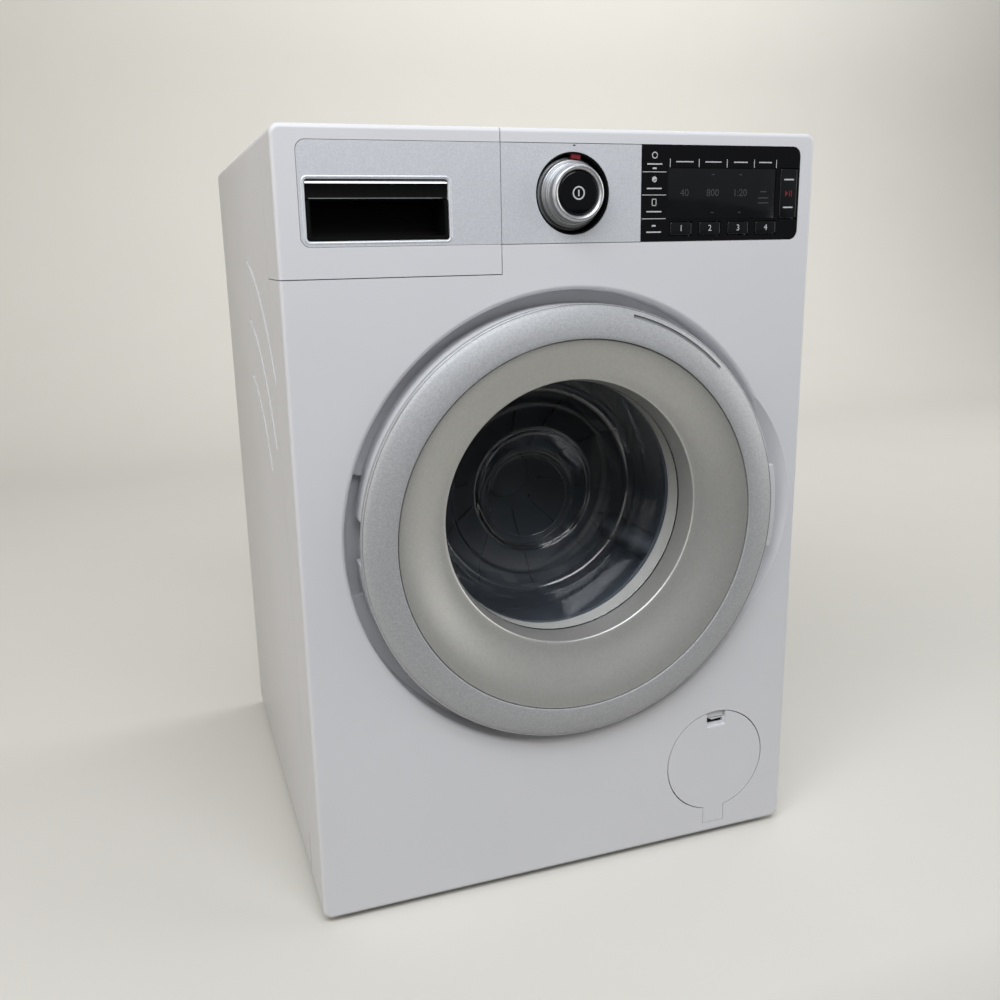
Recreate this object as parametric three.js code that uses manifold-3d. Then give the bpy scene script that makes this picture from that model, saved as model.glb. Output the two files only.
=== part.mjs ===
// A toy front-loading washing machine, modelled at its real size.
// Millimetres, +Z up, the front faces -Y, +X is to the right of someone who looks at the front.
// The origin is on the floor, in the middle of the space that the machine takes up.
//
// The machine is a front shell and a rear shell, screwed together, with a porthole door on a pin hinge,
// a drum that a motor turns through two pairs of gears, a detergent drawer, a dial and keys on a panel,
// and a small flap over the filter. "Depth" below is the distance behind the flat front face.

import * as THREE from 'three';
import { mergeVertices } from 'three/addons/utils/BufferGeometryUtils.js';
import Module from 'manifold-3d';

const wasm = await Module();
wasm.setup();

// The case
const caseWidth = 182;
const caseDepth = 188;
const caseHeight = 260;
const frontShellDepth = 25;
const caseCornerRadius = 3;
const caseEdgeRadius = 1.5;
const frontWall = 3;
const sideWall = 2.2;

// Clearances that every piece shares
const partGap = 0.3;
const pinPlay = 0.1;
const shaftPlay = 0.08;
const overrun = 2;

// Feet
const footHeight = 2;
const footRadius = 6;
const footInset = 11;
const footSetback = 12;
const footPegRadius = 2.5;

// The screws that hold the two shells together, on long posts of the front shell
const postRadius = 4.2;
const postInset = 7.2;
const postDrop = 52;
const screwRadius = 1.2;
const screwLength = 12;
const screwHeadRadius = 2.9;
const screwHeadHeight = 2;
const screwSlotHalfWidth = 0.4;
const screwSeat = 2.2;
const pilotRadius = 1.3;

// Door: rings in front, body behind them, in a round recess of the front shell
const doorOffset = 2.5;
const doorMargin = 16.3;
const doorSeamGap = 5.3;
const doorEdgeProud = 4.8;
const doorProud = 7.8;
const ringWidth = 11.3;
const ringThickness = 1.4;
const ringSkirt = 2.6;
const ringEdgeRadius = 0.6;
const dishWidth = 17.7;
const openingLift = 4.1;
const dishThickness = 1.6;
const dishStep = 0.5;
const throatTaper = 1.2;
const bodyInset = 0.4;
const recessGap = 4.2;
const recessDepth = 10;
const recessEdgeRadius = 1.5;
const doorBackGap = 1;
const recessFloor = 2.2;

// The slot in the silver ring, on its upper right
const ringSlotInset = 2.4;
const ringSlotWidth = 1;
const ringSlotDepth = 0.8;
const ringSlotStart = THREE.MathUtils.degToRad(46);
const ringSlotEnd = THREE.MathUtils.degToRad(75);

// Clear bowl of the door
const bowlWall = 1.5;
const bowlFlangeWidth = 5.4;
const bowlDepth = 37.6;
const bowlShoulder = 2.2;
const bowlTaper = 4.2;
const bowlStepInset = 12.7;
const bowlStepHeight = 1;
const bowlLandWidth = 5.8;
const bowlCupSlope = 8;
const bowlCupDepth = 7;

// Pull tab, hinge and latch tongue of the door
const tabReach = 2.5;
const tabHalfHeight = 15.2;
const tabThickness = 3.5;
const hingeInset = 4.2;
const hingeProud = 0.5;
const hingeLift = 2.1;
const hingePinRadius = 1.2;
const hingePinHalfLength = 13;
const knuckleRadius = 2.3;
const knuckleHalfHeight = 7;
const hingeNotchReach = 4.6;
const hingeArmSetback = 1.9;
const hingeSlotHalfHeight = 20.2;
const hingeSlotInner = 7.4;
const hingeSlotOuter = 4.7;
const hingePlateThickness = 2;
const hingePlateMargin = 3;
const hingePlateReach = 1;
const tongueInset = 7.7;
const tongueThickness = 2;
const tongueHalfHeight = 6;
const tongueLength = 7;
const tongueSwing = 1;
const catchWall = 1.5;
const catchDepth = 5;

// Finger scoop beside the door
const scoopInset = 21.1;
const scoopReach = 6.1;
const scoopDepth = 8;

// Gasket, tub and drum, round the axis of the opening
const gasketLip = 1.8;
const gasketFlange = 3.5;
const gasketFlangeThickness = 1.5;
const gasketLength = 6;
const gasketWall = 1.9;
const drumMouthMargin = 0.5;
const drumLipWidth = 11.8;
const drumLength = 58;
const drumWall = 1.6;
const drumBackWall = 2.7;
const drumMouthGap = 0.7;
const drumClearance = 2.4;
const drumHubRadius = 9;
const drumHubHeight = 5.8;
const drumBossRadius = 7;
const drumBossHeight = 1;
const lifterCount = 3;
const lifterHeight = 9;
const lifterHalfWidth = 6;
const lifterTipHalfWidth = 2;
const ribCount = 12;
const ribHeight = 1.2;
const ribHalfWidth = 0.6;
const ribInset = 7;
const tubWall = 1.8;
const tubFlangeWidth = 6;
const tubSeatGap = 1;
const tubBackGap = 0.5;
const hubLength = 6;
const hubWall = 2.6;

// Gear train behind the tub
const shaftRadius = 3;
const bushWall = 2;
const drumTeeth = 30;
const idlerPinionTeeth = 10;
const slowModule = 1.5;
const idlerWheelTeeth = 24;
const motorTeeth = 8;
const fastModule = 1.25;
const toothPlay = 0.1;
const pressureAngle = THREE.MathUtils.degToRad(20);
const addendumShare = 0.9;
const dedendumShare = 1.2;
const gearFace = 6;
const gearGap = 1.6;
const idlerHubRadius = 4.5;
const idlerPinRadius = 1.5;
const motorAngle = THREE.MathUtils.degToRad(-30);
const motorRadius = 12;
const motorLength = 30;
const motorFlatShare = 0.9;
const motorShaftRadius = 1;
const motorShaftReach = 8;
const motorBossRadius = 3.5;
const plateThickness = 2;
const plateMargin = 5;
const pillarRadius = 3;
const pillarSpan = 31;
const pillarRise = 6;
const pillarFootSpan = 20;
const pillarFootInset = 18.2;

// Panel: silver fascia, black display and the keys in it
const fasciaDrop = 4.5;
const fasciaHeight = 29.8;
const fasciaThickness = 1.5;
const fasciaLength = 47.9;
const displayWidth = 59.6;
const fasciaCornerRadius = 3;
const displayInset = 5.7;
const windowInset = 9.6;
const windowEndInset = 9.3;
const windowHeight = 16;
const windowPocket = 0.9;
const windowThickness = 0.6;
const keyCount = 4;
const keyInset = 10.7;
const keySpacing = 3;
const keyEndSpacing = 1.3;
const keyHeight = 4;
const keyDrop = 11;
const keyProud = 0.2;
const keyFlange = 0.5;
const keyFlangeThickness = 1;
const keyStem = 2.4;
const keyStemLength = 2;
const keyTravel = 0.7;
const keyCornerRadius = 0.5;
const startWidth = 6.5;
const startHeight = 15.9;
const startInset = 0.9;

// Dial: black well, silver knob and a black button in its middle
const dialFromSeam = 24;
const wellRadius = 12.2;
const wellWall = 0.7;
const wellDepth = 4.8;
const wellFloor = 1.4;
const wellFlange = 2;
const wellFlangeThickness = 1;
const knobRadius = 8.7;
const knobProud = 5.2;
const knobSkirtRadii = [10.1, 9.5];
const knobSkirtHeight = 1.9;
const knobRim = 1.85;
const knobStemRadius = 2.9;
const knobStemLength = 3.2;
const knobBoreDepth = 0.5;
const knobRound = 0.5;
const powerProud = 4.4;
const powerThickness = 1.5;
const powerStemRadius = 1.1;
const powerTravel = 0.8;

// Circuit board and loudspeaker
const boardDepth = 10;
const boardThickness = 1.6;
const boardMargin = 1;
const boardBossRadius = 2;
const boardBossInset = 4;
const switchWidth = 5;
const selectorWidth = 12;
const speakerRadius = 15;
const speakerThickness = 6;
const speakerInset = 46;
const speakerDrop = 70;
const speakerSlots = 5;
const speakerSlotHeight = 2;
const speakerSlotPitch = 4.5;
const speakerSlotHalfLength = 9;

// Drawer: the top left corner of the front, with its tray behind it
const drawerHeight = 43.5;
const drawerFasciaInset = 7.1;
const drawerWall = 2;
const handleInset = 2.1;
const handleEndInset = 16.85;
const handleDrop = 10.9;
const handleHeight = 17;
const handleDepth = 12;
const handleWall = 1;
const handleBarHeight = 5.4;
const handleBarThickness = 2.6;
const handleBarSetback = 0.2;
const handleBarRound = 0.5;
const handleLedgeHeight = 1.2;
const handleLedgeDepth = 3;
const trayHeight = 30;
const trayLength = 72;
const trayWall = 1.5;
const trayDividerShare = 0.62;
const guideWall = 1.6;
const guideGap = 0.4;
const guideEndRoom = 4;

// Filter flap in the lower right corner
const flapInset = 30.1;
const flapCentreHeight = 32.6;
const flapRadius = 20.1;
const flapThickness = 2.6;
const flapGap = 0.4;
const flapTabHalfWidth = 4.1;
const flapTabBottom = 25.8;
const flapPinDrop = 23.6;
const flapPinDepth = 1.3;
const flapPinRadius = 0.85;
const flapPinHalfLength = 6.5;
const flapTabSwing = 0.7;
const flapNotchHalfWidth = 4.1;
const flapNotchBottom = 14;
const flapCatchHeight = 2.6;
const flapCatchSide = 0.6;
const filterRadius = 17.4;
const filterWall = 1.5;
const filterDepth = 14;
const filterFlange = 2.9;
const filterFlangeThickness = 1.3;
const filterCapRadius = 12;
const filterCapThickness = 3;
const filterGripHalfWidth = 1.6;
const filterGripHeight = 3;
const filterGripHalfLength = 8.5;

// Battery bay in the back
const batteryCount = 4;
const batteryRadius = 7.2;
const batteryLength = 49;
const batteryTipRadius = 2.7;
const batteryTipLength = 1.3;
const batteryPitch = 15.2;
const bayFloorHeight = 13.5;
const bayWall = 2;
const bayMargin = 0.5;
const contactThickness = 0.4;
const batteryDoorThickness = 1.7;
const batteryDoorMargin = 2.6;
const batteryDoorTop = 10;
const batteryDoorGrooves = 4;
const batteryDoorGrooveDepth = 0.6;
const batteryDoorGrooveHeight = 1.2;
const batteryDoorGroovePitch = 2.6;
const batteryScrewRise = 5.2;
const batteryCupWall = 1.2;
const batteryCupDepth = 3;

// Shallow arcs pressed into the sides, and the prising slot at the foot of the seam
const reliefRadii = [106, 84, 62];
const reliefWidth = 2.4;
const reliefDepth = 0.5;
const reliefDepthCentre = 108;
const reliefHeightCentre = 118;
const reliefStart = THREE.MathUtils.degToRad(100);
const reliefEnd = THREE.MathUtils.degToRad(150);
const prySlotHeight = 16;
const prySlotWidth = 1.2;
const prySlotRise = 3;

// Facets round a full circle
const largeSides = 40;
const drumSides = 28;
const mediumSides = 20;
const bearingSides = 16;
const smallSides = 12;
const tinySides = 8;

// Places that follow from the sizes above
const farAway = caseWidth + caseDepth + caseHeight;
const halfWidth = caseWidth / 2;
const frontY = (doorProud - caseDepth) / 2;
const rearShellFront = frontShellDepth + partGap;
const backInside = caseDepth - sideWall;
const floorBack = recessDepth + recessFloor;
const doorBack = recessDepth - doorBackGap;

// The door takes the width of the front but for a margin, and hangs under the drawer's seam.
const seamZ = caseHeight - drawerHeight;
const doorRadius = halfWidth - doorMargin;
const recessRadius = doorRadius + recessGap;
const doorHeight = seamZ - doorSeamGap - recessRadius;
const stepRadius = doorRadius - ringWidth;
const openingRadius = stepRadius - dishWidth;
const ringSlotRadius = doorRadius - ringSlotInset;
const bowlStepRadius = openingRadius - throatTaper - bowlStepInset;
const bowlCupRadius = bowlStepRadius - bowlLandWidth;
const bowlDiscRadius = bowlCupRadius - bowlCupSlope;
const tongueRadius = doorRadius - tongueInset;
const scoopRadius = recessRadius - scoopInset;
const scoopCentre = doorOffset + recessRadius + scoopReach - scoopRadius;
const drumAxisHeight = doorHeight + openingLift;
const drumMouthRadius = openingRadius + drumMouthMargin;
const drumRadius = drumMouthRadius + drumLipWidth;
const tubRadius = drumRadius + drumClearance + tubWall;
const pillarDrop = tubRadius - pillarFootInset;

// The panel is laid out from its right end: display, fascia, and the drawer takes the rest.
const panelTop = caseHeight - fasciaDrop;
const panelBottom = panelTop - fasciaHeight;
const panelMiddle = (panelTop + panelBottom) / 2;
const panelPocket = fasciaThickness + partGap;
const displayRight = halfWidth - displayInset;
const displayLeft = displayRight - displayWidth;
const seamX = displayLeft - fasciaLength;
const keyRowLength = displayWidth - keyInset - startInset - startWidth;
const keyPitch = (keyRowLength + keySpacing - keyEndSpacing) / keyCount;
const keyWidth = keyPitch - keySpacing;
const dialX = seamX + dialFromSeam;
const flapX = halfWidth - flapInset;
const flapZ = flapCentreHeight;
const speakerX = speakerInset - halfWidth;
const hingeX = doorOffset - (doorRadius - hingeInset);
const hingeZ = doorHeight + hingeLift;
const slotInnerRadius = doorRadius - hingeSlotInner;
const slotOuterRadius = doorRadius + hingeSlotOuter;

// Materials
function finish(color, roughness, metalness = 0, opacity = 1) {
  const settings = { color, roughness, metalness, opacity, transparent: opacity < 1 };
  return new THREE.MeshStandardMaterial(settings);
}
const whitePlastic = () => finish(0xe6e6ea, 0.42);
const silverPaint = () => finish(0xb9bdc1, 0.38, 0.55);
const greyPaint = () => finish(0x9d9e98, 0.45, 0.25);
const clearPlastic = () => finish(0x4a4d4e, 0.08, 0, 0.35);
const blackPlastic = () => finish(0x101113, 0.12);
const charcoalPlastic = () => finish(0x2d3032, 0.4);
const softGrey = () => finish(0xb9b6b0, 0.7);
const steel = () => finish(0xc4c6c8, 0.25, 1);
const brass = () => finish(0xb8923f, 0.35, 1);
const gearPlastic = () => finish(0xe9e4d4, 0.5);
const boardGreen = () => finish(0x1d5a38, 0.5);
const rubber = () => finish(0x9a9b9d, 0.85);
const chrome = () => finish(0x2a2c2f, 0.08, 0.9);

// Turns a closed three.js geometry into a solid that can be joined and cut.
function solidOf(geometry) {
  const bare = geometry.clone();
  bare.deleteAttribute('normal');
  bare.deleteAttribute('uv');
  const merged = mergeVertices(bare);
  const corners = merged.index.array;
  const position = merged.attributes.position.array;
  const triangles = [];
  let volume = 0;
  for (let i = 0; i < corners.length; i += 3) {
    const [a, b, c] = [corners[i], corners[i + 1], corners[i + 2]];
    if (a === b || b === c || c === a) continue;
    triangles.push(a, b, c);
    const [p, q, r] = [a, b, c].map((k) => new THREE.Vector3().fromArray(position, k * 3));
    volume += p.dot(q.cross(r));
  }
  if (volume < 0) triangles.reverse();
  const mesh = new wasm.Mesh({ numProp: 3, vertProperties: position, triVerts: Uint32Array.from(triangles) });
  return new wasm.Manifold(mesh);
}

function geometryOf(solid) {
  const mesh = solid.getMesh();
  const geometry = new THREE.BufferGeometry();
  geometry.setAttribute('position', new THREE.BufferAttribute(mesh.vertProperties, 3));
  geometry.setIndex(new THREE.BufferAttribute(mesh.triVerts, 1));
  geometry.computeVertexNormals();
  return geometry;
}

const join = (first, ...others) => others.reduce((sum, next) => sum.add(next), first);
const cut = (first, ...others) => others.reduce((rest, next) => rest.subtract(next), first);

// A block between two corners.
function block(x0, x1, y0, y1, z0, z1) {
  const geometry = new THREE.BoxGeometry(x1 - x0, y1 - y0, z1 - z0);
  geometry.translate((x0 + x1) / 2, (y0 + y1) / 2, (z0 + z1) / 2);
  return solidOf(geometry);
}

// A round bar along Y, the way that the door, drum, dial and screws point.
function bar(x, z, radius, y0, y1, sides = smallSides) {
  const geometry = new THREE.CylinderGeometry(radius, radius, y1 - y0, sides);
  geometry.translate(x, (y0 + y1) / 2, z);
  return solidOf(geometry);
}

// A round bar along Z or X.
function uprightBar(x, y, radius, z0, z1, sides = smallSides) {
  const geometry = new THREE.CylinderGeometry(radius, radius, z1 - z0, sides);
  geometry.rotateX(Math.PI / 2);
  geometry.translate(x, y, (z0 + z1) / 2);
  return solidOf(geometry);
}
function crossBar(y, z, radius, x0, x1, sides = tinySides) {
  const geometry = new THREE.CylinderGeometry(radius, radius, x1 - x0, sides);
  geometry.rotateZ(Math.PI / 2);
  geometry.translate((x0 + x1) / 2, y, z);
  return solidOf(geometry);
}

// A body turned about Y from points [radius, depth, lift]: lift moves that ring of points up.
function turned(points, sides = largeSides) {
  const open = points[0][0] === 0;
  const outline = open ? points : [...points, points[0]];
  const profile = outline.map(([radius, depth]) => new THREE.Vector2(radius, depth));
  const geometry = new THREE.LatheGeometry(profile, sides);
  const position = geometry.attributes.position;
  for (let i = 0; i < position.count; i += 1) {
    const lift = outline[i % outline.length][2] ?? 0;
    position.setZ(i, position.getZ(i) + lift);
  }
  return solidOf(geometry);
}

// An outline in X and Z, drawn from depth y0 to y1; edge rounds its front rim.
function plate(outline, y0, y1, edge = 0, curveSegments = 4) {
  const rim = { bevelThickness: edge, bevelSize: edge, bevelOffset: -edge, bevelSegments: 2 };
  const geometry = new THREE.ExtrudeGeometry(outline, {
    depth: y1 - y0,
    bevelEnabled: edge > 0,
    curveSegments,
    ...rim,
  });
  geometry.rotateX(Math.PI / 2);
  geometry.translate(0, y1 + edge, 0);
  const solid = solidOf(geometry);
  if (edge === 0) return solid;
  return cut(solid, block(-farAway, farAway, y1, farAway, -farAway, farAway));
}

// A rectangle with corner radii [bottom left, bottom right, top right, top left].
function roundedRectangle(x0, x1, z0, z1, radii) {
  const [bl, br, tr, tl] = Array.isArray(radii) ? radii : [radii, radii, radii, radii];
  const shape = new THREE.Shape();
  shape.moveTo(x0 + bl, z0);
  shape.lineTo(x1 - br, z0);
  if (br) shape.absarc(x1 - br, z0 + br, br, -Math.PI / 2, 0);
  shape.lineTo(x1, z1 - tr);
  if (tr) shape.absarc(x1 - tr, z1 - tr, tr, 0, Math.PI / 2);
  shape.lineTo(x0 + tl, z1);
  if (tl) shape.absarc(x0 + tl, z1 - tl, tl, Math.PI / 2, Math.PI);
  shape.lineTo(x0, z0 + bl);
  if (bl) shape.absarc(x0 + bl, z0 + bl, bl, Math.PI, Math.PI * 1.5);
  return shape;
}

// A band between two radii and two angles, in X and Z.
function ringSector(inner, outer, start, end) {
  const shape = new THREE.Shape();
  shape.absarc(0, 0, outer, start, end);
  shape.absarc(0, 0, inner, end, start, true);
  return shape;
}

function add(group, name, solid, material) {
  const mesh = new THREE.Mesh(geometryOf(solid), material);
  mesh.name = name;
  group.add(mesh);
  return mesh;
}

function frameAt(parent, x, y, z) {
  const group = new THREE.Group();
  group.position.set(x, y, z);
  parent.add(group);
  return group;
}

// The whole front of the case, as a solid block with a rounded front rim.
function frontBlank() {
  const outline = roundedRectangle(-halfWidth, halfWidth, footHeight, caseHeight, caseCornerRadius);
  return plate(outline, 0, frontShellDepth, caseEdgeRadius, 4);
}

// The corner that the drawer takes out of the front: margin moves its two seams outwards or inwards.
function drawerCorner(margin) {
  return block(-farAway, seamX + margin, -overrun, frontShellDepth + overrun, seamZ - margin, farAway);
}

function frontCavity() {
  const reach = frontShellDepth + overrun;
  return block(-halfWidth + sideWall, halfWidth - sideWall, frontWall, reach, footHeight + sideWall,
    caseHeight - sideWall);
}

// Screw posts stand in two rows, one low and one under the drawer.
const postPlaces = [-1, 1].flatMap((side) => [
  [side * (halfWidth - postInset), footHeight + postInset],
  [side * (halfWidth - postInset), caseHeight - postDrop],
]);

const keyPlaces = Array.from({ length: keyCount }, (_, i) => displayLeft + keyInset + i * keyPitch + keyWidth / 2);
const keyZ = panelMiddle - keyDrop;
const startX = displayRight - startInset - startWidth / 2;
const boardLeft = seamX + drawerWall + boardMargin;
const boardRight = halfWidth - sideWall - boardMargin;
const boardPostPlaces = [boardLeft + boardBossInset, boardRight - boardBossInset].flatMap((x) => [
  [x, panelBottom + boardBossRadius],
  [x, panelTop - boardBossRadius],
]);

function keyHole(x, z, width, height, y0, y1) {
  const [w, h] = [width / 2 + partGap, height / 2 + partGap];
  return block(x - w, x + w, y0, y1, z - h, z + h);
}
function keyHoles(y0, y1) {
  const row = keyPlaces.map((x) => keyHole(x, keyZ, keyWidth, keyHeight, y0, y1));
  return join(keyHole(startX, panelMiddle, startWidth, startHeight, y0, y1), ...row);
}

function scoopTool(grow) {
  const points = [[0, -overrun], [scoopRadius + grow + overrun, -overrun], [scoopRadius + grow, 0]];
  points.push([scoopRadius + grow - scoopDepth, scoopDepth], [0, scoopDepth]);
  return turned(points, drumSides).translate([scoopCentre, 0, doorHeight]);
}

// The round recess, with a soft front edge.
function recessTool() {
  const points = [[0, -overrun], [recessRadius + recessEdgeRadius, -overrun]];
  const steps = 2;
  for (let i = 0; i <= steps; i += 1) {
    const angle = (i / steps) * (Math.PI / 2);
    const radius = recessRadius + recessEdgeRadius * (1 - Math.sin(angle));
    points.push([radius, recessEdgeRadius * (1 - Math.cos(angle))]);
  }
  points.push([recessRadius, recessDepth], [0, recessDepth]);
  return turned(points).translate([doorOffset, 0, doorHeight]);
}

// Slot in the recess wall for the hinge arm.
function hingeSlotTool() {
  const halfAngle = Math.asin(hingeSlotHalfHeight / doorRadius);
  const middle = Math.PI - Math.asin(hingeLift / doorRadius);
  const sector = ringSector(slotInnerRadius, slotOuterRadius, middle - halfAngle, middle + halfAngle);
  return plate(sector, sideWall, floorBack + overrun).translate([doorOffset, 0, doorHeight]);
}

function flapOpeningTool() {
  const circle = bar(flapX, flapZ, flapRadius + flapGap, -overrun, frontWall + overrun, mediumSides);
  const halfTab = flapTabHalfWidth + flapGap;
  const bottom = flapZ - flapTabBottom - flapTabSwing;
  const tab = block(flapX - halfTab, flapX + halfTab, -overrun, frontWall + overrun, bottom, flapZ);
  const reach = flapPinHalfLength + partGap;
  const bore = crossBar(flapPinDepth, flapZ - flapPinDrop, flapPinRadius + pinPlay, flapX - reach, flapX + reach);
  return join(circle, tab, bore);
}

const openingBack = doorBack + 2 * partGap + bowlWall;
const shellOpeningRadius = openingRadius + bowlFlangeWidth - throatTaper + 2 * partGap;

function frontShell() {
  const kept = [
    bar(doorOffset, doorHeight, recessRadius + recessFloor, 0, floorBack, drumSides),
    bar(scoopCentre, doorHeight, scoopRadius, 0, scoopDepth + recessFloor, drumSides),
    drawerCorner(drawerWall + partGap / 2),
    ...postPlaces.map(([x, z]) => bar(x, z, postRadius, 0, frontShellDepth + overrun, tinySides)),
    ...boardPostPlaces.map(([x, z]) => bar(x, z, boardBossRadius, 0, boardDepth - partGap, tinySides)),
  ];
  const shell = cut(frontBlank(), cut(frontCavity(), ...kept));
  const posts = postPlaces.map(([x, z]) => bar(x, z, postRadius, frontWall, backInside - screwSeat - partGap,
    tinySides));
  const pilots = postPlaces.map(([x, z]) => bar(x, z, pilotRadius, backInside - screwSeat - screwLength,
    caseDepth, tinySides));
  const footHoles = [-1, 1].map((side) => uprightBar(side * (halfWidth - footInset), footSetback,
    footPegRadius + partGap, 0, footHeight + sideWall + overrun));
  const pocket = roundedRectangle(seamX - overrun, displayRight + partGap, panelBottom - partGap / 2,
    panelTop + partGap / 2, [0, fasciaCornerRadius, fasciaCornerRadius, 0]);
  const tongue = doorOffset + tongueRadius;
  const latchSlot = block(tongue - tongueThickness, tongue + tongueThickness + 2 * tongueSwing, 0,
    floorBack + overrun, doorHeight - tongueHalfHeight - tongueSwing, doorHeight + tongueHalfHeight + tongueSwing);
  return cut(
    join(shell, ...posts),
    recessTool(),
    scoopTool(0),
    bar(doorOffset, drumAxisHeight, shellOpeningRadius, 0, floorBack + overrun, largeSides),
    hingeSlotTool(),
    latchSlot,
    drawerCorner(partGap / 2),
    plate(pocket, -overrun, panelPocket),
    bar(dialX, panelMiddle, wellRadius + wellWall + partGap, 0, frontWall + overrun, mediumSides),
    keyHoles(0, frontWall + overrun),
    flapOpeningTool(),
    ...pilots,
    ...footHoles,
  );
}

// Shallow arcs on one side of the rear shell.
function sideRelief(side) {
  const arcs = reliefRadii.map((radius) => {
    const sector = ringSector(radius - reliefWidth / 2, radius + reliefWidth / 2, reliefStart, reliefEnd);
    return plate(sector, -overrun, reliefDepth);
  });
  const turn = new THREE.Matrix4().makeRotationZ(side * Math.PI / 2);
  const place = new THREE.Matrix4().makeTranslation(side * halfWidth, reliefDepthCentre, reliefHeightCentre);
  const all = join(...arcs);
  const mirrored = side > 0 ? all : all.mirror([1, 0, 0]);
  return mirrored.transform(place.multiply(turn).toArray());
}

const bayHalfWidth = ((batteryCount - 1) * batteryPitch) / 2 + batteryRadius + bayMargin;
const bayTop = bayFloorHeight + batteryLength + batteryTipLength + 2 * contactThickness + 4 * partGap;
const batteryDoorFront = caseDepth - batteryDoorThickness;
const bayFront = batteryDoorFront - partGap - 2 * batteryRadius - 2 * bayMargin;
const batteryDoorLow = bayFloorHeight - batteryDoorMargin;
const batteryDoorHigh = bayTop + batteryDoorTop;
const batteryDoorHalf = bayHalfWidth + batteryDoorMargin;
const batteryScrewZ = batteryDoorHigh - batteryScrewRise;
const batteryCupRadius = screwHeadRadius + partGap + batteryCupWall;
const batteryCupFront = caseDepth - screwSeat - batteryCupDepth / 2;

function batteryDoorHole(grow, y0, y1) {
  return block(-batteryDoorHalf - grow, batteryDoorHalf + grow, y0, y1, batteryDoorLow - grow,
    batteryDoorHigh + grow);
}

function speakerSlotTools() {
  const middle = caseHeight - speakerDrop;
  const half = (speakerSlots - 1) / 2;
  return Array.from({ length: speakerSlots }, (_, i) => {
    const z = middle + (i - half) * speakerSlotPitch;
    return block(speakerX - speakerSlotHalfLength, speakerX + speakerSlotHalfLength,
      backInside - overrun, caseDepth + overrun, z - speakerSlotHeight / 2, z + speakerSlotHeight / 2);
  });
}

function rearShell() {
  const outline = roundedRectangle(-halfWidth, halfWidth, footHeight, caseHeight, caseCornerRadius);
  const length = caseDepth - rearShellFront;
  const blank = plate(outline, 0, length, caseEdgeRadius, 4).mirror([0, 1, 0]).translate([0, caseDepth, 0]);
  const screwPads = postPlaces.map(([x, z]) => bar(x, z, postRadius, backInside - screwSeat, caseDepth, tinySides));
  const bay = join(
    block(-bayHalfWidth - bayWall, bayHalfWidth + bayWall, bayFront - bayWall, caseDepth, bayFloorHeight - bayWall,
      bayTop + bayWall),
    batteryDoorHole(bayWall, batteryDoorFront - partGap - bayWall, caseDepth),
    bar(0, batteryScrewZ, batteryCupRadius + bayWall, batteryDoorFront - screwLength - bayWall, caseDepth),
  );
  const cavity = block(-halfWidth + sideWall, halfWidth - sideWall, rearShellFront - overrun, backInside,
    footHeight + sideWall, caseHeight - sideWall);
  const shell = cut(blank, cut(cavity, bay, ...screwPads));
  const bayRoom = block(-bayHalfWidth, bayHalfWidth, bayFront, caseDepth + overrun, bayFloorHeight, bayTop);
  const screwHoles = postPlaces.flatMap(([x, z]) => [
    bar(x, z, screwRadius + partGap, backInside - screwSeat - overrun, caseDepth + overrun, tinySides),
    bar(x, z, screwHeadRadius + partGap, caseDepth - screwSeat, caseDepth + overrun, smallSides),
  ]);
  const batteryPilot = bar(0, batteryScrewZ, screwRadius + pinPlay, batteryDoorFront - screwLength,
    caseDepth, tinySides);
  const cupRoom = bar(0, batteryScrewZ, batteryCupRadius + partGap, batteryCupFront - partGap, caseDepth);
  const footHoles = [-1, 1].map((side) => uprightBar(side * (halfWidth - footInset), caseDepth - footSetback,
    footPegRadius + partGap, 0, footHeight + sideWall + overrun));
  const prySlots = [-1, 1].map((side) => block(side * halfWidth - sideWall - overrun,
    side * halfWidth + sideWall + overrun, rearShellFront - overrun, rearShellFront + prySlotWidth,
    footHeight + prySlotRise, footHeight + prySlotRise + prySlotHeight));
  return cut(shell, bayRoom, batteryDoorHole(partGap, batteryDoorFront - partGap, caseDepth + overrun),
    batteryPilot, cupRoom, sideRelief(-1), sideRelief(1), ...screwHoles, ...footHoles, ...prySlots,
    ...speakerSlotTools());
}

function foot() {
  const pad = uprightBar(0, 0, footRadius, 0, footHeight);
  return join(pad, uprightBar(0, 0, footPegRadius, 0, footHeight + sideWall, tinySides));
}

function screw() {
  const head = bar(0, 0, screwHeadRadius, 0, screwHeadHeight, smallSides);
  const slot = block(-screwHeadRadius, screwHeadRadius, screwHeadHeight / 2, screwHeadHeight + overrun,
    -screwSlotHalfWidth, screwSlotHalfWidth);
  return cut(join(head, bar(0, 0, screwRadius, -screwLength + screwHeadHeight, 0, tinySides)), slot);
}

function batteryDoor() {
  const lid = batteryDoorHole(0, batteryDoorFront, caseDepth);
  const grooves = Array.from({ length: batteryDoorGrooves }, (_, i) => {
    const z = batteryDoorLow + batteryDoorMargin + (i + 1) * batteryDoorGroovePitch;
    return block(-batteryPitch, batteryPitch, caseDepth - batteryDoorGrooveDepth, caseDepth + overrun, z,
      z + batteryDoorGrooveHeight);
  });
  const cup = bar(0, batteryScrewZ, batteryCupRadius, batteryCupFront, caseDepth);
  const hole = bar(0, batteryScrewZ, screwRadius + partGap, batteryCupFront - overrun, caseDepth, tinySides);
  const head = bar(0, batteryScrewZ, screwHeadRadius + partGap, caseDepth - screwSeat, caseDepth + overrun);
  return cut(join(lid, cup), hole, head, ...grooves);
}

function battery() {
  const low = bayFloorHeight + contactThickness + 2 * partGap;
  const can = uprightBar(0, 0, batteryRadius, low, low + batteryLength);
  return join(can, uprightBar(0, 0, batteryTipRadius, low, low + batteryLength + batteryTipLength, tinySides));
}

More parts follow.
